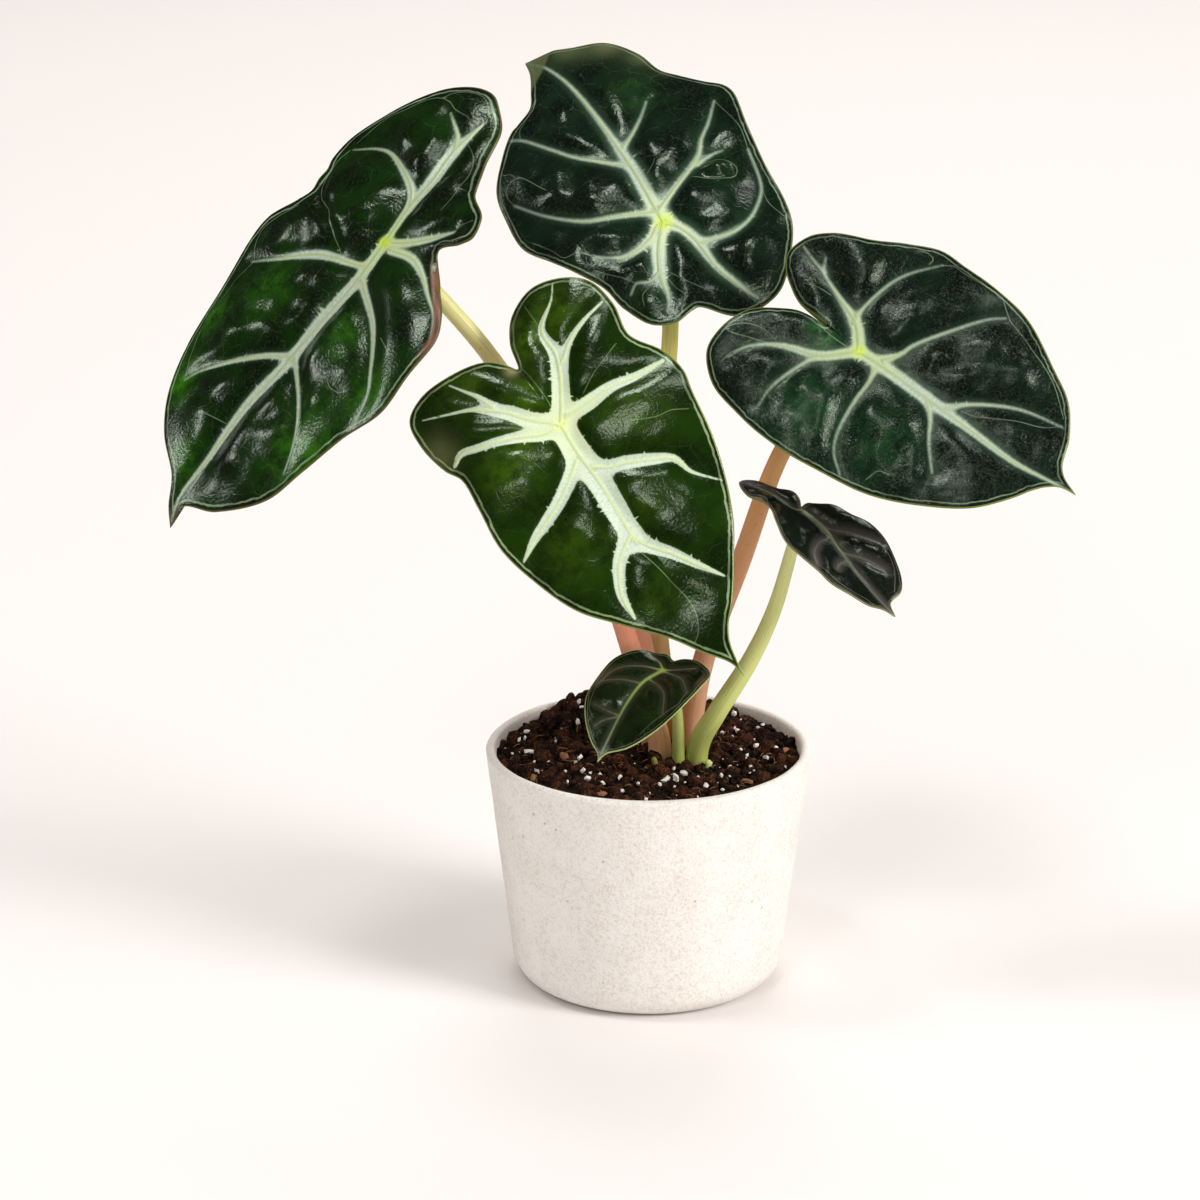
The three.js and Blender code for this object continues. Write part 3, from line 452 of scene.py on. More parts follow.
LOOKS = {
    "leaf_upper_left": dict(LOOK, mid="#112e06", bright="#3a8006"),
    "leaf_top": dict(
        LOOK, dark="#07120a", mid="#122616", bright="#24481c", halo="#4b6a52", band="#c6d6c4",
        band_shade="#8da993", hub_band="#dbeabf", hub="#d2ea66", blush="#66704a", rim="#6c7848",
        collector=(1.7, 0.25, 0.6), blush_mm=40, hub_mm=3.2, feather=2.4, slim=0.4, soft=0.9, halo_mm=3.6,
        halo_strength=0.6, frost_shade="#4a5c4c"),
    "leaf_front": dict(
        LOOK, dark="#0d1f03", mid="#193304", bright="#405e08", halo="#3c5a2a", band="#dae8d4",
        band_shade="#9ab890", hub_band="#e2f0c0", cord="#d4e694", hub="#e8f4a4", blush="#8a8a5c",
        thread="#8ba870", collector_colour="#a8be92", rim="#7f8c4c", collector=(1.7, 0.32, 0.68),
        blush_mm=40, feather=1.6, hairy=1, slim=0.1, soft=0.22, band_strength=1, halo_mm=1.2,
        halo_strength=0.35, cord_strength=0.8, net_strength=0.04, pebble=0.28, wrinkle=0.02, rough=0.16,
        pale_grain_and_sparkle=0.06),
    "leaf_right": dict(
        LOOK, dark="#080e09", mid="#102016", bright="#1f5226", halo="#3a5442", band="#c0cebc",
        hub_band="#bdd098", cord="#a0b676", hub="#c9e252", rim="#77843f", collector=(1.7, 0.22, 0.55),
        hub_mm=1.6, slim=0.3, soft=0.7, halo_mm=3, halo_strength=0.7, net_strength=0.05, pebble_mm=1.2,
        pebble=0.42, worm=1.6, wrinkle=0.1, rough=0.17, gloss=0.42, pale_grain_and_sparkle=0.4, frost_shade="#465448"),
    "leaf_small_right": dict(
        LOOK, dark="#090f0a", mid="#101911", bright="#26331f", halo="#585350", band="#7a8a62",
        band_shade="#5c6a54", hub_band="#8a9c60", cord="#94a866", hub="#8fa04e", thread="#84807a",
        collector_colour="#78746c", rim="#7c7c58", collector=(1, 0.18, 0.6), rim_mm=0.35, hub_mm=-0.4,
        feather=0.4, hairy=0.3, soft=0.3, band_strength=0.75, halo_mm=3.4, halo_strength=0.85, cord_mm=0.35,
        net_mm=4.5, net_strength=0.03, pebble=0.3, wrinkle=0.04, rough=0.2, halo_thin=0.9, thin_grey=0.9,
        pale_grain_and_sparkle=0.1),
    "leaf_small_front": dict(
        LOOK, dark="#0a1705", mid="#11240a", bright="#1f4012", halo="#504c40", band="#86a850",
        band_shade="#5e7446", hub_band="#a2b860", cord="#a4c460", hub="#b4c858", blush="#6c5a4a",
        thread="#77746a", collector_colour="#8a9a6c", rim="#a4b070", collector=(1.1, 0.15, 0.45),
        rim_mm=0.3, hub_mm=-0.2, feather=0.4, hairy=0.3, soft=0.3, band_strength=0.8, halo_strength=0.6,
        cord_mm=0.35, net_mm=4.5, net_strength=0.03, pebble=0.3, rough=0.2, halo_thin=0.75, thin_grey=0.85,
        pale_grain_and_sparkle=0.1),
}


def linear(code):
    """An sRGB hex colour as the linear RGBA that Blender's sockets hold."""
    shades = np.array([int(code[i:i + 2], 16) for i in (1, 3, 5)]) / 255
    light = np.where(shades <= 0.04045, shades / 12.92, ((shades + 0.055) / 1.055) ** 2.4)
    return (*light, 1.0)


def node_adder(owner):
    """Empties a material's or world's node tree, and gives the function that adds a node to it.

    That takes the node's kind, its inputs, the output to hand back, and its settings. Inputs are
    values or other nodes' outputs, listed in the sockets' order or given by name."""
    owner.use_nodes = True
    tree = owner.node_tree
    tree.nodes.clear()

    def add(kind, inputs, out=0, **settings):
        node = tree.nodes.new("ShaderNode" + kind)
        for key, value in settings.items():
            setattr(node, key, value)
        for key, value in inputs.items() if isinstance(inputs, dict) else enumerate(inputs):
            if isinstance(value, bpy.types.NodeSocket):
                tree.links.new(value, node.inputs[key])
            else:
                node.inputs[key].default_value = value
        return node.outputs[out] if node.outputs else node

    return add


def new_material(name):
    """A node material without nodes, and the function that adds a node to it."""
    material = bpy.data.materials.new(name)
    return material, node_adder(material)


def place_object(name, data):
    """A new object in the scene."""
    thing = bpy.data.objects.new(name, data)
    bpy.context.scene.collection.objects.link(thing)
    return thing


def rounded(points, count):
    """Evenly spaced points on the centripetal Catmull-Rom curve through the given ones."""
    p = np.array(points, float)
    p = np.vstack([2 * p[0] - p[1], p, 2 * p[-1] - p[-2]])
    a, b, c, d = p[:-3, None], p[1:-2, None], p[2:-1, None], p[3:, None]
    gaps = np.linalg.norm(np.diff(p, axis=0), axis=1) ** 0.5
    before, here, after = (gaps[i:len(gaps) - 2 + i, None, None] for i in range(3))
    leave = ((b - a) / before - (c - a) / (before + here) + (c - b) / here) * here
    reach = ((c - b) / here - (d - b) / (here + after) + (d - c) / after) * here
    t = np.linspace(0, 1, 41)[None, :, None]
    curve = (b + leave * t + (3 * (c - b) - 2 * leave - reach) * t ** 2
             + (2 * (b - c) + leave + reach) * t ** 3).reshape(-1, p.shape[1])
    return resampled(curve, np.linspace(0, travelled(curve)[-1], count))


def travelled(points):
    """How far along a line each of its points lies."""
    return np.r_[0, np.cumsum(np.linalg.norm(np.diff(points, axis=0), axis=1))]


def resampled(points, wanted):
    """The places on a line that lie at the wanted lengths along it."""
    return np.column_stack([np.interp(wanted, travelled(points), column) for column in points.T])


def unit(arrows):
    """Arrows of length 1."""
    return arrows / np.linalg.norm(arrows, axis=-1, keepdims=True)


def swell(x, y, size, seed, waves=14):
    """Smooth unevenness of about -1 to 1: sine waves of one size running in many directions."""
    draw = np.random.default_rng(seed)
    total = np.zeros_like(x, dtype=float)
    for bearing, phase, stretch in draw.uniform([0, 0, 0.7], [np.pi, 6.28, 1.5], (waves, 3)):
        total += np.sin((x * np.cos(bearing) + y * np.sin(bearing)) * FULL_TURN / (size * stretch) + phase)
    return total / waves ** 0.5


def mound(x, y, place_x, place_y, radius):
    """A round bell of height 1: the exponential of minus the squared distance over radius squared."""
    return np.exp(-((x - place_x) ** 2 + (y - place_y) ** 2) / radius ** 2)


def near_line(x, y, line):
    """Signed distance to a drawn line, and how far along it the nearest place is."""
    start, step = line[:-1], np.diff(line, axis=0)
    lengths = np.linalg.norm(step, axis=1)
    best = np.full(x.shape, np.inf)
    side = np.ones(x.shape)
    along = np.zeros(x.shape)
    for (sx, sy), (dx, dy), length, before in zip(start, step, lengths, travelled(line)):
        rx, ry = x - sx, y - sy
        t = np.clip((rx * dx + ry * dy) / length ** 2, 0, 1)
        far = np.hypot(rx - t * dx, ry - t * dy)
        closer = far < best
        best = np.where(closer, far, best)
        side = np.where(closer, np.sign(dx * ry - dy * rx) + (dx * ry == dy * rx), side)
        along = np.where(closer, before + t * length, along)
    return best * side, along


def make_piece(name, points, faces, materials, slot, nodes=(), face_materials=None, smooth=True, layers=()):
    """A mesh of these points and faces that rides with the pot and stands for the given solids."""
    mesh = bpy.data.meshes.new(name)
    mesh.from_pydata((np.asarray(points) * MM).tolist(), [], [list(map(int, f)) for f in faces])
    for material in materials:
        mesh.materials.append(material)
    if face_materials is not None:
        mesh.polygons.foreach_set("material_index", np.asarray(face_materials, dtype=np.int32))
    mesh.polygons.foreach_set("use_smooth", np.full(len(mesh.polygons), smooth))
    for layer, values in dict(layers).items():
        kind, entry = ("FLOAT", "value") if values.ndim == 1 else ("FLOAT_VECTOR", "vector")
        mesh.attributes.new(layer, kind, "POINT").data.foreach_set(entry, values.astype(np.float32).ravel())
    mesh.update()
    piece = place_object(name, mesh)
    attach(piece, "root")
    if nodes:
        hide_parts(*nodes)


def leaf_axes(leaf):
    """The leaf's across, tipward and facing axes as unit arrows at right angles."""
    facing = unit(np.array(leaf["facing"], float))
    tipward = np.array(leaf["tipward"], float)
    tipward = unit(tipward - facing * tipward.dot(facing))
    return np.cross(tipward, facing), tipward, facing


def square_rings(cells):
    """A square grid read as rings: each point's ring from 0 to 1, and its place round the ring.

    The ring is the larger of the two distances from the middle, and the place runs clockwise
    from the corner at the top right."""
    line = np.linspace(-1, 1, cells + 1)
    a, b = np.meshgrid(line, line, indexing="ij")
    share = np.maximum(abs(a), abs(b))
    u, v = (np.divide(k, share, out=np.zeros_like(k), where=share > 0) for k in (a, b))
    turn = np.where(v >= 1, 0.75 + (u + 1) / 8, np.where(u <= -1, 0.5 + (v + 1) / 8, 0.25 + (1 - u) / 8))
    turn = np.where(u >= 1, (1 - v) / 8, turn)
    return share.ravel(), turn.ravel() % 1


def square_rim(cells):
    """The grid's outer points in order, clockwise from the top right corner."""
    side = np.arange(cells)
    return np.r_[cells * (cells + 1) + cells - side, (cells - side) * (cells + 1), side,
                 side * (cells + 1) + cells]


def grid_faces(rows, columns, wrap=False):
    """The quads of a grid whose points are counted row by row, closed round when wrap is set."""
    r, c = np.meshgrid(np.arange(rows - 1), np.arange(columns if wrap else columns - 1), indexing="ij")
    d = (c + 1) % columns
    corners = r * columns + c, (r + 1) * columns + c, (r + 1) * columns + d, r * columns + d
    return np.stack(corners, -1).reshape(-1, 4)


def band_faces(upper, lower):
    """The quads between two closed rings of points."""
    return np.stack([upper, np.roll(upper, -1), np.roll(lower, -1), lower], -1)


def tube_faces(rows, sides):
    """The faces of a tube that is closed at both ends: its quads, and a face on either end."""
    last = range((rows - 1) * sides, rows * sides)
    return grid_faces(rows, sides, wrap=True)[:, ::-1].tolist() + [list(range(sides))[::-1], list(last)]


def blade_fields(leaf, x, y, margin):
    """How far each place is from the veins, threads and margin, all in millimetres.

    The pale bands' edges melt into each other where veins meet, and so does the distance that
    shapes the swelling: they are the negative logarithm of summed exponentials. Each vein's run
    starts at a number of its own, so that no two have the same tufts."""
    best, hair = np.full(x.shape, np.inf), np.full(x.shape, np.inf)
    signed, along, joined, half, crowd, hair_signed = np.zeros((6, *x.shape))
    melt = BAND_MELT * leaf["veins"][0][1][2]
    blur = SWELLING_BLUR * leaf["spread"]
    for i, points in enumerate(leaf["veins"]):
        line = rounded(points, VEIN_POINTS)
        far, run = near_line(x, y, line[:, :2])
        width = np.interp(run, np.linspace(0, run.max(), len(line)), line[:, 2])
        joined += np.exp(-(abs(far) - width) / melt)
        crowd += np.exp(-abs(far) / blur)
        closer = abs(far) < best
        half = np.where(closer, width, half)
        best = np.where(closer, abs(far), best)
        signed = np.where(closer, far, signed)
        along = np.where(closer, run + VEIN_SHIFT * i, along)
    band = -melt * np.log(joined)
    clear = np.maximum(-blur * np.log(crowd), 0)
    for points in leaf["threads"]:
        far, _ = near_line(x, y, rounded(points, THREAD_POINTS))
        closer = abs(far) < hair
        hair = np.where(closer, abs(far), hair)
        hair_signed = np.where(closer, far, hair_signed)
    edge, _ = near_line(x, y, np.vstack([margin[::3], margin[:1]]))
    return best, clear, signed, along, half, band, hair, hair_signed, abs(edge)


def patches(x, y, spots):
    """Soft round patches, each its place, radius and strength, added together up to 1."""
    total = np.zeros(x.shape)
    for px, py, radius, strength in spots:
        total += strength * mound(x, y, px, py, radius)
    return np.minimum(total, 1)


def build_leaf(name, leaf, upper, under):
    """A leaf blade: rings shrunk from the margin to the hub, lifted off its flat frame.

    Height = fold off the midrib - bend to tip and back - roll of the sides + wave at the margin
    + swelling between the veins + puckers - grooves + dents - the folded tip's drop. The underside
    lies one thickness below, with ribs under the veins, and the rim between them is round."""
    cells = leaf["cells"]
    share, turn = square_rings(cells)
    outline = leaf["outline"]
    margin = rounded(outline + outline[:1], 4 * cells + 1)[:-1]
    edge_point = margin[np.round(turn * 4 * cells).astype(int) % (4 * cells)]
    x, y = edge_point[:, 0] * share, edge_point[:, 1] * share
    best, clear, signed, along, half, band, hair, hair_signed, edge = blade_fields(leaf, x, y, margin)
    bend = np.where(y > 0, leaf["bow"] * (y / leaf["tip_reach"]) ** 2,
                    leaf["droop"] * (y / leaf["back_reach"]) ** 2)
    lift = leaf["fold"] * (np.hypot(x, leaf["crease"]) - leaf["crease"])
    roll = leaf["roll"] * (x / leaf["side_reach"]) ** 2
    wave = leaf["wave"] * share ** 3 * np.sin(RIPPLES * np.arctan2(x, y) + leaf["wave_phase"])
    open_blade = (1 - np.exp(-(SWELLING_START * clear / leaf["spread"]) ** 2)) * (1 - share ** 4)
    size = leaf["spread"] / LARGE_SPREAD
    for depth, width, points in leaf["folds"]:
        lift = lift - depth * np.exp(-(near_line(x, y, rounded(points, THREAD_POINTS))[0] / width) ** 2)
    for dx, dy, radius, high in leaf["dents"]:
        lift = lift + high * mound(x, y, dx, dy, radius)
    pucker = leaf["pucker"] * (swell(x, y, LARGE_PUCKER * size, leaf["seed"])
                               + FINE_SHARE * swell(x, y, FINE_PUCKER * size, leaf["seed"] + 1))
    pucker *= 1 - patches(x, y, leaf["calm"])
    height = lift - bend - roll + wave + (leaf["puff"] + pucker * size) * open_blade
    folded = np.zeros(x.shape)
    for ax, ay, bx, by, drop in leaf["flap"]:
        past = ((bx - ax) * (y - ay) - (by - ay) * (x - ax)) / np.hypot(bx - ax, by - ay)
        inside = ((bx - ax) * (x - ax) + (by - ay) * (y - ay)) / np.hypot(bx - ax, by - ay)
        beyond = np.minimum(past, inside)
        height -= drop * (np.hypot(beyond, FLAP_ROUND) + beyond) / 2
        folded = FLAP_BROWN * np.clip(beyond / FLAP_EDGE, 0, 1)
    rib = RIB_HEIGHT * size * np.exp(-(best / (RIB_WIDTH * size)) ** 2) * (1 - share ** 2)
    across, tipward, facing = leaf_axes(leaf)
    flat = np.array(leaf["hub"]) + x[:, None] * across + y[:, None] * tipward
    upper_points = flat + height[:, None] * facing
    under_points = flat + (height - BLADE_THICKNESS - rib)[:, None] * facing
    top = square_rim(cells)
    middle = (upper_points[top] + under_points[top]) / 2
    points = np.vstack([upper_points, under_points, middle])
    count = len(x)
    low, mid = top + count, 2 * count + np.arange(len(top))
    inward = unit(flat[top] - np.array(leaf["hub"]))
    points[top] -= RIM_INSET * inward
    points[low] -= RIM_INSET * inward
    quads = grid_faces(cells + 1, cells + 1)
    faces = np.vstack([quads, quads[:, ::-1] + count, band_faces(top, mid), band_faces(mid, low)])
    which = np.r_[np.zeros(len(quads)), np.ones(len(quads)), np.zeros(2 * len(top))]
    source = np.r_[np.arange(count), np.arange(count), top]
    blush = np.maximum(patches(x, y, leaf["blush"]), folded)
    fields = {
        "vein": np.column_stack([along, signed, best])[source],
        "band": band[source],
        "hair": np.column_stack([hair_signed, hair, np.hypot(x, y)])[source],
        "place": np.column_stack([x, y, edge])[source],
        "tone": np.column_stack([patches(x, y, leaf["flush"]), blush, half])[source],
    }
    fields["place"][:, 2][2 * count:] = 0
    make_piece(name + "_blade", points, faces, [upper, under], leaf["slot"], [name], which, layers=fields)


def build_stalk(name, stalk, material):
    """A tapering stalk: circles carried along its curve, closed at both ends, sunk into the hub."""
    route = [np.array(p, float) for p in stalk["route"]]
    foot, top = stalk["foot"], stalk["top"]
    if stalk["leaf"]:
        leaf = LEAVES[stalk["leaf"]]
        route.append(np.array(leaf["hub"]) - leaf_axes(leaf)[2] * (STALK_IN_HUB + top))
    line = rounded(route, STALK_STEPS + 1)
    tangent = unit(np.gradient(line, axis=0))
    side = unit(np.cross(tangent, NO_STALKS_WAY))
    out = np.cross(side, tangent)
    share = np.linspace(0, 1, STALK_STEPS + 1)
    cap = np.pi / 2 * np.linspace(STALK_CAP_START, 1, STALK_CAP)
    rise, taper = np.sin(cap)[:, None], np.cos(cap)
    below, above = tangent[0] * foot * rise[::-1], tangent[-1] * top * rise
    centres = np.vstack([line[0] - below, line, line[-1] + above])
    radii = np.r_[foot * taper[::-1], foot + (top - foot) * share, top * taper]
    ends = (STALK_CAP, STALK_CAP)
    side, out = (np.pad(arrows, (ends, (0, 0)), "edge")[:, None] for arrows in (side, out))
    angle = np.linspace(0, 2 * np.pi, STALK_SIDES, endpoint=False)
    c, s = np.cos(angle), np.sin(angle)
    points = centres[:, None] + radii[:, None, None] * (c[None, :, None] * side + s[None, :, None] * out)
    rows = len(centres)
    shares = np.repeat(np.pad(share, ends, "edge"), STALK_SIDES)
    fields = {"share": shares,
              "round": np.column_stack([np.tile(c, rows), np.tile(s, rows), shares * travelled(line)[-1]])}
    make_piece(name + "_skin", points.reshape(-1, 3), tube_faces(rows, STALK_SIDES), [material],
               stalk["slot"], [name], layers=fields)


def outer_radius(z):
    """The pot's outer wall leans out evenly from its foot to its rim."""
    return POT_RIM_RADIUS - POT_TAPER * (POT_HEIGHT - POT_WALL / 2 - z)


def arc(x, z, radius, start, end, steps):
    """Points on a circle about (x, z) from one angle to another, in degrees."""
    angle = np.radians(np.linspace(start, end, steps))
    return np.column_stack([x + radius * np.cos(angle), z + radius * np.sin(angle)])


def build_pot(material):
    """The pot: its wall's profile turned round the upright axis, a little uneven as cast clay is."""
    lean = np.degrees(np.arctan(POT_TAPER))
    slant = (1 + POT_TAPER ** 2) ** 0.5
    foot = outer_radius(POT_FOOT_FILLET) - POT_FOOT_FILLET * slant
    inner_z = POT_FLOOR + POT_INNER_FILLET
    inner = outer_radius(inner_z) - POT_WALL - POT_INNER_FILLET * slant
    lip = POT_WALL / 2
    corners = np.vstack([
        [(AXIS_GAP, 0), (foot * 0.5, 0)],
        arc(foot, POT_FOOT_FILLET, POT_FOOT_FILLET, -90, -lean, steps=14),
        arc(POT_RIM_RADIUS - lip, POT_HEIGHT - lip, lip, -lean, 180 - lean, steps=14),
        arc(inner, inner_z, POT_INNER_FILLET, -lean, -90, steps=10),
        [(inner * 0.5, POT_FLOOR), (AXIS_GAP, POT_FLOOR)],
    ])
    steps = travelled(corners)
    profile = resampled(corners, np.unique(np.r_[steps, np.arange(0, steps[-1], POT_STEP)]))
    angle = np.linspace(0, 2 * np.pi, POT_SIDES, endpoint=False)
    r, z = profile[:, :1], profile[:, 1:]
    c, s = np.cos(angle), np.sin(angle)
    uneven = swell(c * POT_RIM_RADIUS + 0 * z, s * POT_RIM_RADIUS + z * POT_SWELL_CLIMB,
                   POT_SWELL, SEEDS["pot"])
    uneven = POT_UNEVEN * uneven * np.minimum(1, z / POT_EVEN_FOOT)
    r = r - abs(uneven) * (r > POT_EVEN_FOOT)
    points = np.stack([r * c, r * s, z + 0 * angle], -1).reshape(-1, 3)
    make_piece("pot_body", points, tube_faces(len(profile), POT_SIDES), [material], "pot", ["pot"])


def soil_height(x, y):
    """Nearly level, with a low heap round the stalks and higher ones against the back wall."""
    height = np.full(np.shape(x), float(SOIL_LEVEL))
    for hx, hy, high, spread in SOIL_HEAPS:
        height += high * np.exp(-((x - hx) ** 2 + (y - hy) ** 2) / (2 * spread ** 2))
    return height


def on_disc(pairs, reach):
    """Places spread evenly over a disc, from pairs of numbers between 0 and 1."""
    far, angle = reach * np.sqrt(pairs[:, 0]), FULL_TURN * pairs[:, 1]
    return far * np.cos(angle), far * np.sin(angle)


def grain_sizes(draw, count, shape, scale, least):
    """Sizes of grains: most of them small, and few of them large."""
    return draw.gamma(shape, scale, count) + least


def strewn(count, seed, reach=SOIL_REACH):
    """Places strewn evenly over the soil, kept off the stalks' feet."""
    x, y = on_disc(np.random.default_rng(seed).uniform(0, 1, (count * 3, 2)), reach)
    free = np.hypot(x - FEET_MIDDLE[0], y - FEET_MIDDLE[1]) > FEET_CLEAR
    return x[free][:count], y[free][:count]


def build_soil(material):
    """Potting soil: a disc whose height is that of the highest of many squashed balls, its crumbs."""
    share, turn = square_rings(SOIL_CELLS)
    rim_radius = outer_radius(SOIL_LEVEL) - POT_WALL + SOIL_INTO_WALL
    angle = -turn * 2 * np.pi
    x, y = rim_radius * share * np.cos(angle), rim_radius * share * np.sin(angle)
    draw = np.random.default_rng(SEEDS["crumbs"])
    cx, cy = on_disc(draw.uniform(0, 1, (CRUMBS, 2)), rim_radius)
    size = grain_sizes(draw, CRUMBS, *CRUMB_SIZES)
    tall = draw.uniform(*CRUMB_TALL, CRUMBS) * size
    waves = sum(high * swell(x, y, length, seed) for high, length, seed in SOIL_WAVES)
    relief = np.full(x.shape, SOIL_HOLLOW)
    for bx, by, radius, high in zip(cx, cy, size, tall):
        near = (x - bx) ** 2 + (y - by) ** 2 < radius ** 2
        ball = high * np.sqrt(1 - ((x[near] - bx) ** 2 + (y[near] - by) ** 2) / radius ** 2)
        relief[near] = np.maximum(relief[near], ball - CRUMB_SUNK + CRUMB_RAISED * high)
    points = np.column_stack([x, y, soil_height(x, y) + relief + waves])
    rim = square_rim(SOIL_CELLS)
    skirt = points[rim].copy()
    skirt[:, 2] = SOIL_LEVEL - SOIL_DEPTH
    skirt[:, :2] *= 1 - POT_TAPER * SOIL_DEPTH / rim_radius
    low = len(points) + np.arange(len(rim))
    faces = [*grid_faces(SOIL_CELLS + 1, SOIL_CELLS + 1), *band_faces(rim, low), low]
    # Its relief is handed on to paint crumb tops lighter and the hollows and the side darker: painted light
    # and shade.
    make_piece("soil_crumbs", np.vstack([points, skirt]), faces, [material], "soil", ["soil"], smooth=False,
               layers={"relief": np.r_[relief, np.full(len(rim), float(SKIRT_SHADED_RELIEF))]})


def lumps(centres, sizes, rough, seed, level=1):
    """Irregular grains: balls of triangles squashed, turned and roughened, all at once.

    Each point's radius is 1 + rough x the sum of a few cosine bumps in directions of the
    grain's own."""
    ball = bmesh.new()
    bmesh.ops.create_icosphere(ball, subdivisions=level, radius=1)
    points = np.array([v.co[:] for v in ball.verts])
    faces = np.array([[v.index for v in f.verts] for f in ball.faces])
    ball.free()
    draw = np.random.default_rng(seed)
    count = len(centres)
    spin, _ = np.linalg.qr(draw.normal(size=(count, 3, 3)))
    bumps = np.einsum("lbk,pk->lpb", unit(draw.normal(size=(count, BUMPS, 3))), points)
    bumps = np.cos(bumps * BUMP_CLOSENESS) * draw.uniform(*BUMP_STRENGTH, (count, 1, BUMPS))
    radius = 1 + rough * bumps.sum(2) / BUMPS_EVENED
    shaped = points[None] * radius[:, :, None] * draw.uniform(*GRAIN_SQUASH, (count, 1, 3))
    turned = np.einsum("lpk,lkj->lpj", shaped, spin * np.sign(np.linalg.det(spin))[:, None, None])
    placed = turned * np.asarray(sizes)[:, None, None] / 2 + np.asarray(centres)[:, None]
    offsets = np.arange(count)[:, None, None] * len(points)
    return placed.reshape(-1, 3), (faces[None] + offsets).reshape(-1, 3)


def build_loose(crumb, perlite, bark):
    """What lies on the soil: loose crumbs, white grains and chips of bark."""
    draw = np.random.default_rng(SEEDS["sizes"])
    x, y = strewn(LOOSE_CRUMBS, SEEDS["loose_places"])
    size = grain_sizes(draw, len(x), *LOOSE_SIZES)
    centres = np.column_stack([x, y, soil_height(x, y) + LOOSE_RISE * size])
    points, faces = lumps(centres, size, LOOSE_ROUGH, SEEDS["loose_shapes"])
    make_piece("soil_loose_crumbs", points, faces, [crumb], "soil", smooth=False)
    x, y = strewn(PERLITE_STREWN, SEEDS["perlite_places"])
    seen = np.array(PERLITE_SEEN)
    x, y = np.r_[seen[:, 0], x], np.r_[seen[:, 1], y]
    size = np.r_[seen[:, 2] * PERLITE_SWELL, grain_sizes(draw, len(x) - len(seen), *PERLITE_SIZES)]
    centres = np.column_stack([x, y, soil_height(x, y) + PERLITE_LIFT + PERLITE_RISE * size])
    points, faces = lumps(centres, size, PERLITE_ROUGH, SEEDS["perlite_shapes"])
    make_piece("soil_perlite", points, faces, [perlite], "soil", smooth=False)
    x, y, size, turn = np.array(BARK).T[:, :, None]
    points, faces = lumps(np.zeros((len(x), 3)), size[:, 0], BARK_ROUGH, SEEDS["bark_shapes"], level=3)
    px, py, pz = np.moveaxis(points.reshape(len(x), -1, 3) * BARK_SHAPE, -1, 0)
    c, s = np.cos(turn), np.sin(turn)
    points = np.stack([px * c - py * s + x, px * s + py * c + y, pz + (soil_height(x, y) + BARK_LIFT)], -1)
    make_piece("soil_bark", points.reshape(-1, 3), faces, [bark], "soil")


def build_fibres(material):
    """Fibres on the soil: square tubes along arcs that rise in the middle and end in points."""
    draw = np.random.default_rng(SEEDS["fibres"])
    x, y = strewn(FIBRES, SEEDS["fibre_places"], FIBRE_REACH)
    share = np.linspace(-1, 1, FIBRE_STEPS)[None]
    drawn = draw.uniform(FIBRE_LEAST, FIBRE_MOST, (len(x), len(FIBRE_LEAST)))
    length, bearing, curl, rise, thick = drawn.T[:, :, None]
    heading = bearing + curl * share
    step = length / FIBRE_STEPS
    cx = x[:, None] + np.cumsum(np.cos(heading), 1) * step
    cy = y[:, None] + np.cumsum(np.sin(heading), 1) * step
    reach = np.maximum(np.hypot(cx, cy) / SOIL_REACH, 1)
    cx, cy = cx / reach, cy / reach
    cz = soil_height(cx, cy) + FIBRE_LIFT + rise * (1 - share ** 2)
    radius = thick * (1 + FIBRE_POINT - share ** 4)
    corner = np.arange(4) * np.pi / 2
    points = np.stack([
        cx[:, :, None] - (radius * np.sin(heading))[:, :, None] * np.cos(corner),
        cy[:, :, None] + (radius * np.cos(heading))[:, :, None] * np.cos(corner),
        cz[:, :, None] + radius[:, :, None] * np.sin(corner)], -1)
    faces = np.array(tube_faces(FIBRE_STEPS, 4))[None] + 4 * FIBRE_STEPS * np.arange(len(x))[:, None, None]
    make_piece("soil_fibres", points.reshape(-1, 3), faces.reshape(-1, 4), [material], "soil")


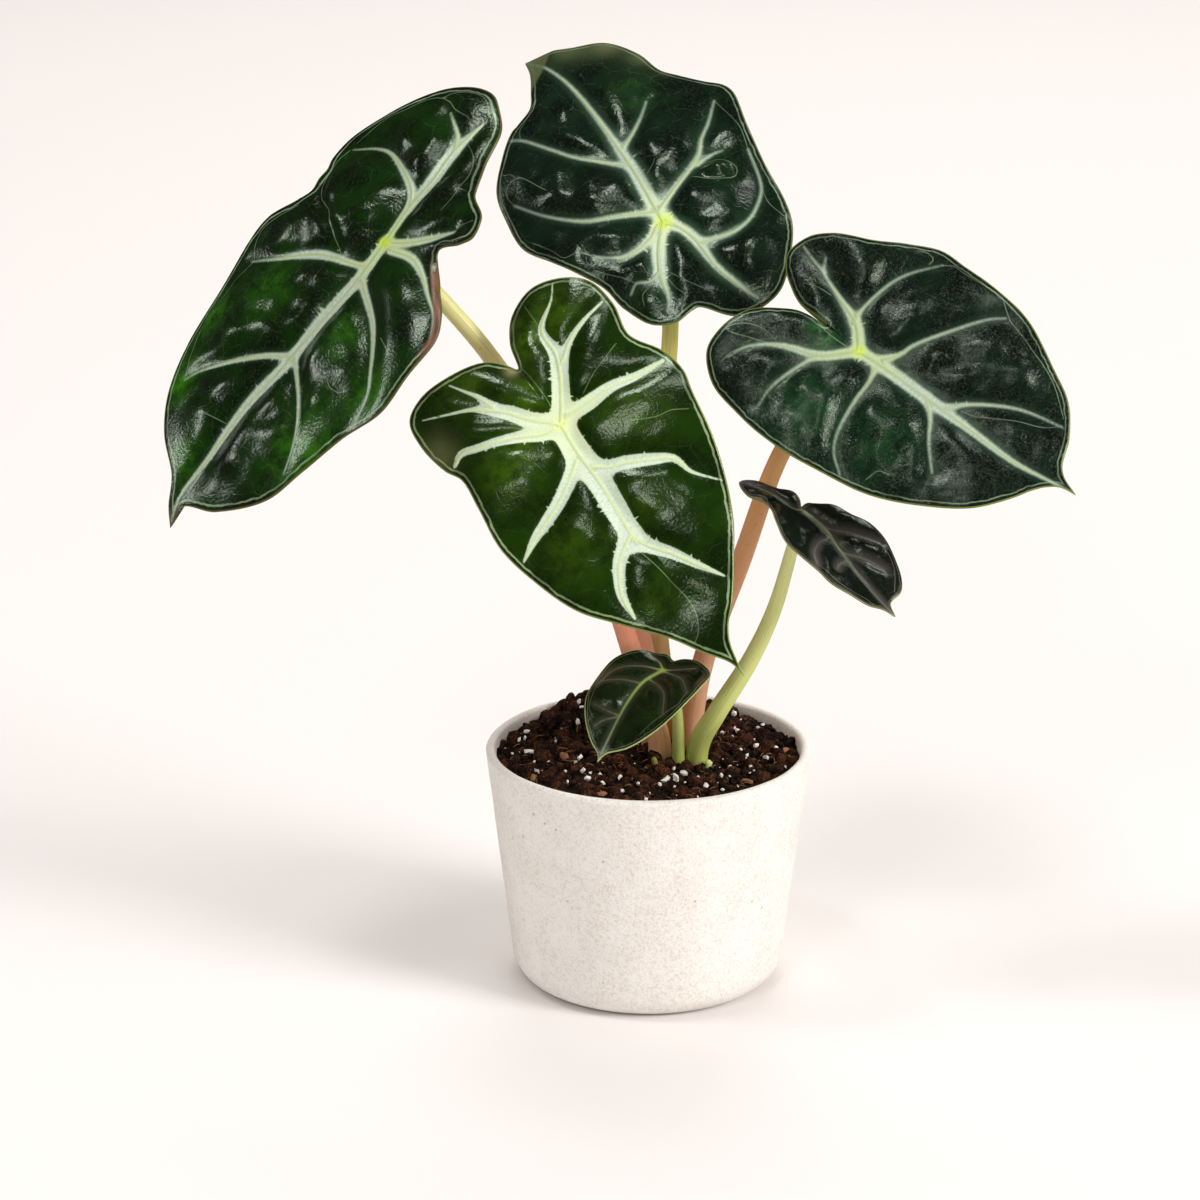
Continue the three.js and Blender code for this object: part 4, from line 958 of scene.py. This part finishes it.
def leaf_upper(name, look):
    """A living leaf's upper face: deep green under a thin waxy skin, whose soft highlights are
    broken by fine pebbling, with grey-white veins whose edges run out in hairs and tufts."""
    material, add = new_material(name)
    fields = [add("Attribute", {}, "Vector", attribute_name=field)
              for field in ("vein", "hair", "place", "tone")]
    (_, signed, far), (thread_signed, thread_far, hub_far), (px, py, edge), (flush, blush, half) = [
        add("SeparateXYZ", [field]).node.outputs for field in fields]
    band = add("Attribute", {}, "Fac", attribute_name="band")
    flat = add("CombineXYZ", [px, py])

    # Noises at their real sizes: tufts 2 mm and hairs 0.5 mm apart run out from the veins; drift of
    # 5 mm, clouds of 16 mm and a fine grain of 0.8 mm lie in the blade.
    outward = add("VectorMath", [fields[0], (1, 0.16, 0)], operation="MULTIPLY")
    tufts = add("TexNoise", dict(Vector=outward, Scale=0.62, Roughness=0.6))
    hairs = add("TexNoise", dict(Vector=outward, Scale=2.8, Roughness=0.65))
    drift = add("TexNoise", dict(Vector=flat, Scale=0.2, Detail=3, Roughness=0.6))
    clouds = add("TexNoise", dict(Vector=flat, Scale=0.06, Detail=3, Roughness=0.55))
    fine = add("TexNoise", dict(Vector=flat, Scale=1.3, Detail=3, Roughness=0.7))

    # Pale bands: their edge moves out where a tuft or a hair grows, less so on a thin vein.
    growth = add("MapRange", [tufts, 0.56, 0.8, 0, look["feather"]], **SMOOTH)
    growth = add("Math", [hairs, look["hairy"], growth], operation="MULTIPLY_ADD")
    growth = add("Math", [growth, 0.5 * look["hairy"] + look["slim"]], operation="SUBTRACT")
    share = add("MapRange", [half, 0.3, 2.6, 0.12, 1])
    growth = add("Math", [growth, share], operation="MULTIPLY")
    ragged = add("Math", [band, growth], operation="SUBTRACT")
    band_mask = add("MapRange", [ragged, look["soft"], -look["soft"], 0, look["band_strength"]], **SMOOTH)
    halo = add("MapRange", [ragged, look["halo_mm"], -0.4, 0, look["halo_strength"]], **SMOOTH)
    halo_width = add("MapRange", [half, 0.3, 1.8, look["halo_thin"], 1])
    halo = add("Math", [halo, halo_width], operation="MULTIPLY")

    # The raised cord in the middle of a vein, fading where the vein thins out.
    off = add("Math", [signed], operation="ABSOLUTE")
    near = add("MapRange", [far, 1.4, 1], **SMOOTH)
    thick = add("MapRange", [half, 0.3, 1.1], **SMOOTH)
    near = add("Math", [near, thick], operation="MULTIPLY")
    cord_mm = look["cord_mm"]
    cord = add("MapRange", [off, cord_mm, 0.3 * cord_mm, 0, look["cord_strength"]], **SMOOTH)
    cord = add("Math", [cord, near], operation="MULTIPLY")
    ridge = add("MapRange", [off, 1, 0.1], **SMOOTH)
    ridge = add("Math", [ridge, near], operation="MULTIPLY")

    # Hair-thin veins, the vein that follows the margin, and a faint net between them.
    thread_off = add("Math", [thread_signed], operation="ABSOLUTE")
    thread = add("MapRange", [thread_off, 0.3, 0.06, 0, look["thread_strength"]], **SMOOTH)
    thread_near = add("MapRange", [thread_far, 0.9, 0.6], **SMOOTH)
    thread = add("Math", [thread, thread_near], operation="MULTIPLY")
    uneven = add("MapRange", [clouds, 0.38, 0.6, 0.45, 1], **SMOOTH)
    thread = add("Math", [thread, uneven], operation="MULTIPLY")
    inset, width, strength = look["collector"]
    collector = add("Math", [drift, 1.6, edge], operation="MULTIPLY_ADD")
    collector = add("Math", [collector, inset + 0.8], operation="SUBTRACT")
    collector = add("Math", [collector], operation="ABSOLUTE")
    collector = add("MapRange", [collector, width + 0.15, width - 0.1, 0, strength], **SMOOTH)
    collector = add("Math", [collector, uneven], operation="MULTIPLY")
    bent = add("TexNoise", dict(Vector=flat, Scale=0.1), 1)
    bent = add("VectorMath", [bent, (9, 9, 0), flat], operation="MULTIPLY_ADD")
    net = add("TexVoronoi", dict(Vector=bent, Scale=1 / look["net_mm"]),
              feature="DISTANCE_TO_EDGE", voronoi_dimensions="2D")
    net = add("MapRange", [net, 0.03, 0.004], **SMOOTH)
    net_mask = add("MapRange", [drift, 0.42, 0.62, 0, look["net_strength"]], **SMOOTH)
    net_mask = add("Math", [net, net_mask], operation="MULTIPLY")

    # The pebbling: its tops are painted a little paler, in drifts, partly as the leaf's own pale grain
    # and partly as a painted sparkle of highlights. It is really about 0.3 mm; it is drawn at 1 mm, so
    # that it shows.
    pebble = add("TexNoise", dict(
        Vector=flat, Scale=1 / look["pebble_mm"], Roughness=0.55, Distortion=look["worm"]))
    pale_grain_and_sparkle = add("MapRange", [pebble, 0.48, 0.68, 0, look["pale_grain_and_sparkle"]], **SMOOTH)
    drifts = add("MapRange", [clouds, 0.4, 0.6, 1, 0.2], **SMOOTH)
    pale_grain_and_sparkle = add("Math", [pale_grain_and_sparkle, drifts], operation="MULTIPLY")

    # Colours, laid over one another: first a band's own, then the blade's.
    broken = add("MapRange", [drift, 0.36, 0.6, 0.3, 1], **SMOOTH)
    flush = add("Math", [flush, broken], operation="MULTIPLY")
    patchy = add("MapRange", [clouds, 0.38, 0.66], **SMOOTH)
    mottle = add("MapRange", [fine, 0.48, 0.75, 0, 0.3], **SMOOTH)
    near_edge = add("MapRange", [edge, look["blush_mm"], look["blush_mm"] - 0.6], **SMOOTH)
    blush = add("Math", [blush, near_edge], operation="MULTIPLY")
    hub_glow = add("MapRange", [hub_far, 26, 3, 0, 0.75], **SMOOTH)
    hub_spot = add("Math", [drift, 2.4, hub_far], operation="MULTIPLY_ADD")
    hub_spot = add("MapRange", [hub_spot, look["hub_mm"] + 3.4, look["hub_mm"], 0, 0.9], **SMOOTH)
    rim = add("MapRange", [edge, look["rim_mm"] + 0.2, look["rim_mm"] - 0.2], **SMOOTH)
    paler = add("MapRange", [hairs, 0.36, 0.6, 0.4, 0], **SMOOTH)
    outer = add("MapRange", [band, -1, 0.4, 0, 0.6], **SMOOTH)
    thin = add("MapRange", [half, 0.4, 0.22, 0, look["thin_grey"]], **SMOOTH)
    band_colour = linear(look["band"])
    for mask, shade in [
            (paler, "band_shade"), (outer, "band_shade"), (hub_glow, "hub_band"), (thin, "thread")]:
        band_colour = add("Mix", {0: mask, 6: band_colour, 7: linear(look[shade])}, 2, **LAID_OVER)
    colour = linear(look["dark"])
    # The paler pebble tops laid over here are a painted sparkle of highlights as well as grain.
    for mask, shade in [
            (patchy, "mid"), (flush, "bright"), (mottle, "mid"), (pale_grain_and_sparkle, "frost_shade"), (halo, "halo"),
            (net_mask, "thread"), (thread, "thread"), (collector, "collector_colour"),
            (band_mask, band_colour), (cord, "cord"), (hub_spot, "hub"), (blush, "blush"), (rim, "rim")]:
        shade = linear(look[shade]) if isinstance(shade, str) else shade
        colour = add("Mix", {0: mask, 6: colour, 7: shade}, 2, **LAID_OVER)

    # Relief in metres: pebbling, wrinkles 3 mm apart, the net's grooves and the raised cords.
    wrinkle = add("TexNoise", dict(Vector=flat, Scale=0.3))
    bump = add("Bump", dict(Strength=look["pebble"], Distance=0.0003, Height=pebble))
    bump = add("Bump", dict(Strength=look["wrinkle"], Distance=0.0006, Height=wrinkle, Normal=bump))
    bump = add("Bump", dict(Strength=0.15, Distance=0.0001, Height=net, Normal=bump), invert=True)
    bump = add("Bump", dict(Strength=0.8, Distance=0.0003, Height=ridge, Normal=bump))
    rough = add("MapRange", [fine, 0.3, 0.7, look["rough"] - 0.04, look["rough"] + 0.06])
    rough = add("Math", [band_mask, 0.12, rough], operation="MULTIPLY_ADD", use_clamp=True)
    shader = add("BsdfPrincipled", {
        "Base Color": colour, "Roughness": rough, "Normal": bump, "Specular IOR Level": look["gloss"],
        "Specular Tint": linear("#dcecd4")})
    add("OutputMaterial", [shader])
    return material


def leaf_under(name, look):
    """A living leaf's underside: dull, paler green with a brown-pink cast, and light raised ribs."""
    material, add = new_material(name)
    vein = add("Attribute", {}, "Vector", attribute_name="vein")
    far = add("SeparateXYZ", [vein], "Z")
    place = add("Attribute", {}, "Vector", attribute_name="place")
    edge = add("SeparateXYZ", [place], "Z")
    flat = add("VectorMath", [place, (1, 1, 0)], operation="MULTIPLY")
    rib = add("MapRange", [far, 1.7, 0.4, 0, 0.7], **SMOOTH)
    halo = add("MapRange", [far, 7, 0.5, 0, 0.4], **SMOOTH)
    rim = add("MapRange", [edge, 0.8, 0.3], **SMOOTH)
    slow = add("TexNoise", dict(Vector=flat, Scale=0.07, Detail=3))
    bent = add("TexNoise", dict(Vector=flat, Scale=0.15), 1)
    bent = add("VectorMath", [bent, (6, 6, 0), flat], operation="MULTIPLY_ADD")
    net = add("TexVoronoi", dict(Vector=bent, Scale=1.8 / look["net_mm"]),
              feature="DISTANCE_TO_EDGE", voronoi_dimensions="2D")
    net = add("MapRange", [net, 0.07, 0.01, 0, 0.12], **SMOOTH)
    colour = linear(look["under"])
    for mask, shade in [(slow, "under_blush"), (net, "under_rib"), (halo, "under_halo"),
                        (rib, "under_rib"), (rim, "rim")]:
        colour = add("Mix", {0: mask, 6: colour, 7: linear(look[shade])}, 2, **LAID_OVER)
    bump = add("Bump", dict(Strength=0.4, Distance=0.0003, Height=net))
    shader = add("BsdfPrincipled", {"Base Color": colour, "Roughness": 0.5, "Normal": bump})
    add("OutputMaterial", [shader])
    return material


def stalk_skin(name, colours, streak, fleck):
    """A living stalk: smooth and faintly waxy, colour changing from foot to top, with fine
    lengthwise lines 0.7 mm apart and a few dark flecks."""
    material, add = new_material(name)
    share = add("Attribute", {}, "Fac", attribute_name="share")
    skin = add("Attribute", {}, "Vector", attribute_name="round")
    lines_at, spots_at, cloud_at = [
        add("VectorMath", [skin, stretch], operation="MULTIPLY")
        for stretch in ((5.5, 5.5, 0.045), (4, 4, 0.6), (0.8, 0.8, 0.03))]
    streaks = add("TexNoise", dict(Vector=lines_at, Scale=1, Detail=3, Roughness=0.6))
    streaks = add("MapRange", [streaks, 0.45, 0.75, 0, 0.4], **SMOOTH)
    spots = add("TexNoise", dict(Vector=spots_at, Scale=1.1, Detail=1))
    spots = add("MapRange", [spots, 0.72, 0.78, 0, 0.6], **SMOOTH)
    cloud = add("TexNoise", dict(Vector=cloud_at, Scale=1))
    shift = add("Math", [cloud, 0.24, share], operation="MULTIPLY_ADD")
    shift = add("Math", [shift, 0.12], operation="SUBTRACT")
    colour = add("ValToRGB", [shift])
    blend = colour.node.color_ramp
    for position in list(colours)[1:-1]:
        blend.elements.new(position)
    for element, (position, code) in zip(blend.elements, colours.items()):
        element.position = position
        element.color = linear(code)
    for mask, shade in [(streaks, streak), (spots, fleck)]:
        colour = add("Mix", {0: mask, 6: colour, 7: linear(shade)}, 2, **LAID_OVER)
    bump = add("Bump", dict(Strength=0.35, Distance=0.0002, Height=streaks))
    shader = add("BsdfPrincipled", {
        "Base Color": colour, "Roughness": 0.42, "Normal": bump, "Subsurface Weight": 0.12,
        "Subsurface Radius": (0.003, 0.002, 0.001), "Subsurface Scale": 1})
    add("OutputMaterial", [shader])
    return material


def fibre_clay(name):
    """Cast fibre clay: chalky, off-white and matt, with sandy grains of 0.5 mm and a few pores."""
    material, add = new_material(name)
    place = add("TexCoord", {}, "Object")
    cloud = add("TexNoise", dict(Vector=place, Scale=60, Detail=4, Roughness=0.6))
    sand = add("TexNoise", dict(Vector=place, Scale=1200, Roughness=0.7))
    coarse = add("TexNoise", dict(Vector=place, Scale=480, Roughness=0.6))
    grain = add("TexVoronoi", dict(Vector=place, Scale=620))
    pore_far, pore_draw, _ = add("TexVoronoi", dict(Vector=place, Scale=240)).node.outputs[:3]
    chosen = add("SeparateColor", [pore_draw])
    chosen = add("MapRange", [chosen, 0.9, 0.93], **SMOOTH)
    pore = add("MapRange", [pore_far, 0.16, 0.1, 0, 0.5], **SMOOTH)
    pore = add("Math", [pore, chosen], operation="MULTIPLY")
    where = add("MapRange", [cloud, 0.35, 0.62, 0.6, 1], **SMOOTH)
    sandy = add("MapRange", [sand, 0.48, 0.68, 0, 0.45], **SMOOTH)
    sandy = add("Math", [sandy, where], operation="MULTIPLY")
    tan = add("MapRange", [coarse, 0.52, 0.7, 0, 0.3], **SMOOTH)
    tan = add("Math", [tan, where], operation="MULTIPLY")
    colour = linear("#fbf9f5")
    for mask, shade in [(cloud, "#ebe5de"), (tan, "#d8c9ba"), (sandy, "#c2b4a6"), (pore, "#8f7664")]:
        colour = add("Mix", {0: mask, 6: colour, 7: linear(shade)}, 2, **LAID_OVER)
    height = add("Math", [grain, 0.6, sand], operation="MULTIPLY_ADD")
    height = add("Math", [height, pore], operation="SUBTRACT")
    bump = add("Bump", dict(Strength=0.7, Distance=0.0003, Height=height))
    shader = add("BsdfPrincipled", {
        "Base Color": colour, "Roughness": 0.82, "Normal": bump, "Specular IOR Level": 0.3})
    add("OutputMaterial", [shader])
    return material


def potting_soil(name, dark, light):
    """Peat and coir potting soil: dark brown, damp and matt, with tan flecks. The tops of crumbs are
    painted lighter brown and their hollows darker, and the small hollows of the bump near black,
    as painted light and shade. Grain 1 mm; its fibres, really 0.1 mm, are drawn at 0.4 mm so that
    they show."""
    material, add = new_material(name)
    place = add("TexCoord", {}, "Object")
    relief = add("Attribute", {}, "Fac", attribute_name="relief")
    cloud = add("TexNoise", dict(Vector=place, Scale=130, Detail=4, Roughness=0.7))
    coarse = add("TexNoise", dict(Vector=place, Scale=900, Detail=3, Roughness=0.7))
    fine = add("TexNoise", dict(Vector=place, Scale=2300, Roughness=0.7))
    # The soil's relief paints crumb tops lighter and browner and its hollows darker: painted light and
    # shade.
    lit_tops_shaded_hollows = add("MapRange", [relief, -0.6, 1.2], **SMOOTH)
    patch = add("MapRange", [cloud, 0.4, 0.62, 0.1, 1], **SMOOTH)
    lit_brown_tops = add("Math", [lit_tops_shaded_hollows, patch], operation="MULTIPLY")
    speck = add("MapRange", [coarse, 0.56, 0.68, 0, 0.75], **SMOOTH)
    speck = add("Math", [speck, lit_tops_shaded_hollows], operation="MULTIPLY")
    fleck = add("MapRange", [fine, 0.66, 0.74, 0, 0.7], **SMOOTH)
    # Where the bump's noise is low, in its small hollows, the colour turns near black: painted shade.
    bump_hollow_shade = add("MapRange", [coarse, 0.46, 0.34, 0, 0.8], **SMOOTH)
    colour = linear(dark)
    for mask, shade in [(lit_brown_tops, light), (speck, "#95562c"), (fleck, "#bf8650"), (bump_hollow_shade, "#080301")]:
        colour = add("Mix", {0: mask, 6: colour, 7: linear(shade)}, 2, **LAID_OVER)
    bump = add("Bump", dict(Strength=1, Distance=0.0012, Height=coarse))
    shader = add("BsdfPrincipled", {
        "Base Color": colour, "Roughness": 0.7, "Normal": bump, "Specular IOR Level": 0.18})
    add("OutputMaterial", [shader])
    return material


def mineral(name, colour, shade, scale):
    """A matt natural grain, such as expanded perlite, bark or coir, with pits or fibres of its own."""
    material, add = new_material(name)
    place = add("TexCoord", {}, "Object")
    noise = add("TexNoise", dict(Vector=place, Scale=scale, Detail=3, Roughness=0.65))
    mask = add("MapRange", [noise, 0.42, 0.75, 0, 0.8])
    mixed = add("Mix", {0: mask, 6: linear(colour), 7: linear(shade)}, 2, **LAID_OVER)
    bump = add("Bump", dict(Strength=0.6, Distance=0.0004, Height=noise))
    shader = add("BsdfPrincipled", {"Base Color": mixed, "Roughness": 0.8, "Normal": bump})
    add("OutputMaterial", [shader])
    return material


def studio_paint(name):
    """Matt wall paint, rolled on: pale, with hardly any gloss."""
    material, add = new_material(name)
    shader = add("BsdfPrincipled", {
        "Base Color": linear("#f1edeb"), "Roughness": 0.9, "Specular IOR Level": 0.1})
    add("OutputMaterial", [shader])
    return material


def build_plant():
    """Every leaf and stalk, each with its own finish. Pink stalks have darker streaks."""
    for name, leaf in LEAVES.items():
        upper = leaf_upper("waxy_leaf_upper_" + name, LOOKS[name])
        under = leaf_under("dull_leaf_underside_" + name, LOOKS[name])
        build_leaf(name, leaf, upper, under)
    for name, stalk in STALKS.items():
        pink = stalk["slot"] == "stalk_pink"
        streak, fleck = ("#bd7c60", "#6a3a2a") if pink else ("#a4a850", "#7c7c38")
        build_stalk(name, stalk, stalk_skin("stalk_skin_" + name, stalk["colours"], streak, fleck))


def build_stage():
    """A pale floor that sweeps up into the backdrop: a straight, a quarter circle and a wall."""
    sweep = arc(FLOOR_BEND, FLOOR_ROUND, FLOOR_ROUND, -90, 0, steps=24)
    profile = np.vstack([[(FLOOR_FRONT, 0), (-FLOOR_BEND, 0)], sweep,
                         [(FLOOR_BEND + FLOOR_ROUND, BACKDROP_HEIGHT)]])
    points = [(x, y, z) for y, z in profile for x in (-FLOOR_HALF_WIDTH, FLOOR_HALF_WIDTH)]
    mesh = bpy.data.meshes.new("studio_floor")
    mesh.from_pydata((np.array(points) * MM).tolist(), [], grid_faces(len(profile), 2)[:, ::-1].tolist())
    mesh.materials.append(studio_paint("painted_studio_floor"))
    mesh.polygons.foreach_set("use_smooth", np.full(len(mesh.polygons), True))
    floor = place_object("studio_floor", mesh)
    floor.visible_glossy = False


def build_light():
    """Soft studio light in a pale room: a strong key from the right and front, weak lamps above,
    left, in front and at the edge, and a broad one behind that isn't mirrored. The room is dim
    where it is mirrored, as the dark side of a studio is."""
    for name, (place, size, power, shade, lights, mirrored) in LAMPS.items():
        lamp = bpy.data.lights.new(name, "AREA")
        lamp.shape = "SQUARE"
        lamp.size = size
        lamp.energy = power
        lamp.color = linear(shade)[:3]
        thing = place_object(name, lamp)
        thing.visible_diffuse = lights
        thing.visible_glossy = mirrored
        thing.location = place
        thing.rotation_euler = (Vector(LAMP_TARGET) - Vector(place)).to_track_quat("-Z", "Y").to_euler()
    world = bpy.data.worlds.new("pale_room")
    add = node_adder(world)
    mirrored = add("LightPath", {}, "Is Glossy Ray")
    strength = add("MapRange", [mirrored, 0, 1, ROOM_LIGHT, ROOM_REFLECTION])
    add("OutputWorld", [add("Background", [linear("#fffaf6"), strength])])
    bpy.context.scene.world = world
    bpy.context.scene.view_settings.view_transform = "Standard"


def build_camera():
    """The camera at the photograph's place and angle."""
    lens = bpy.data.cameras.new("camera")
    lens.lens = CAMERA_LENS
    lens.sensor_width = CAMERA_SENSOR
    camera = place_object("camera", lens)
    camera.location = [k * MM for k in CAMERA_PLACE]
    camera.rotation_euler = (np.radians(CAMERA_TILT), 0, 0)
    bpy.context.scene.camera = camera


build_camera()
build_plant()
build_pot(fibre_clay("fibre_clay_cast_matt"))
build_soil(potting_soil("peat_soil", "#0b0502", "#4c2810"))
build_loose(
    potting_soil("peat_crumbs", "#0e0603", "#603618"),
    mineral("expanded_perlite", "#fffdf8", "#f6ebdb", 900),
    mineral("pine_bark", "#a06c46", "#5e3a24", 500))
build_fibres(mineral("coir_fibre", "#a47646", "#6c4424", 600))
build_stage()
build_light()
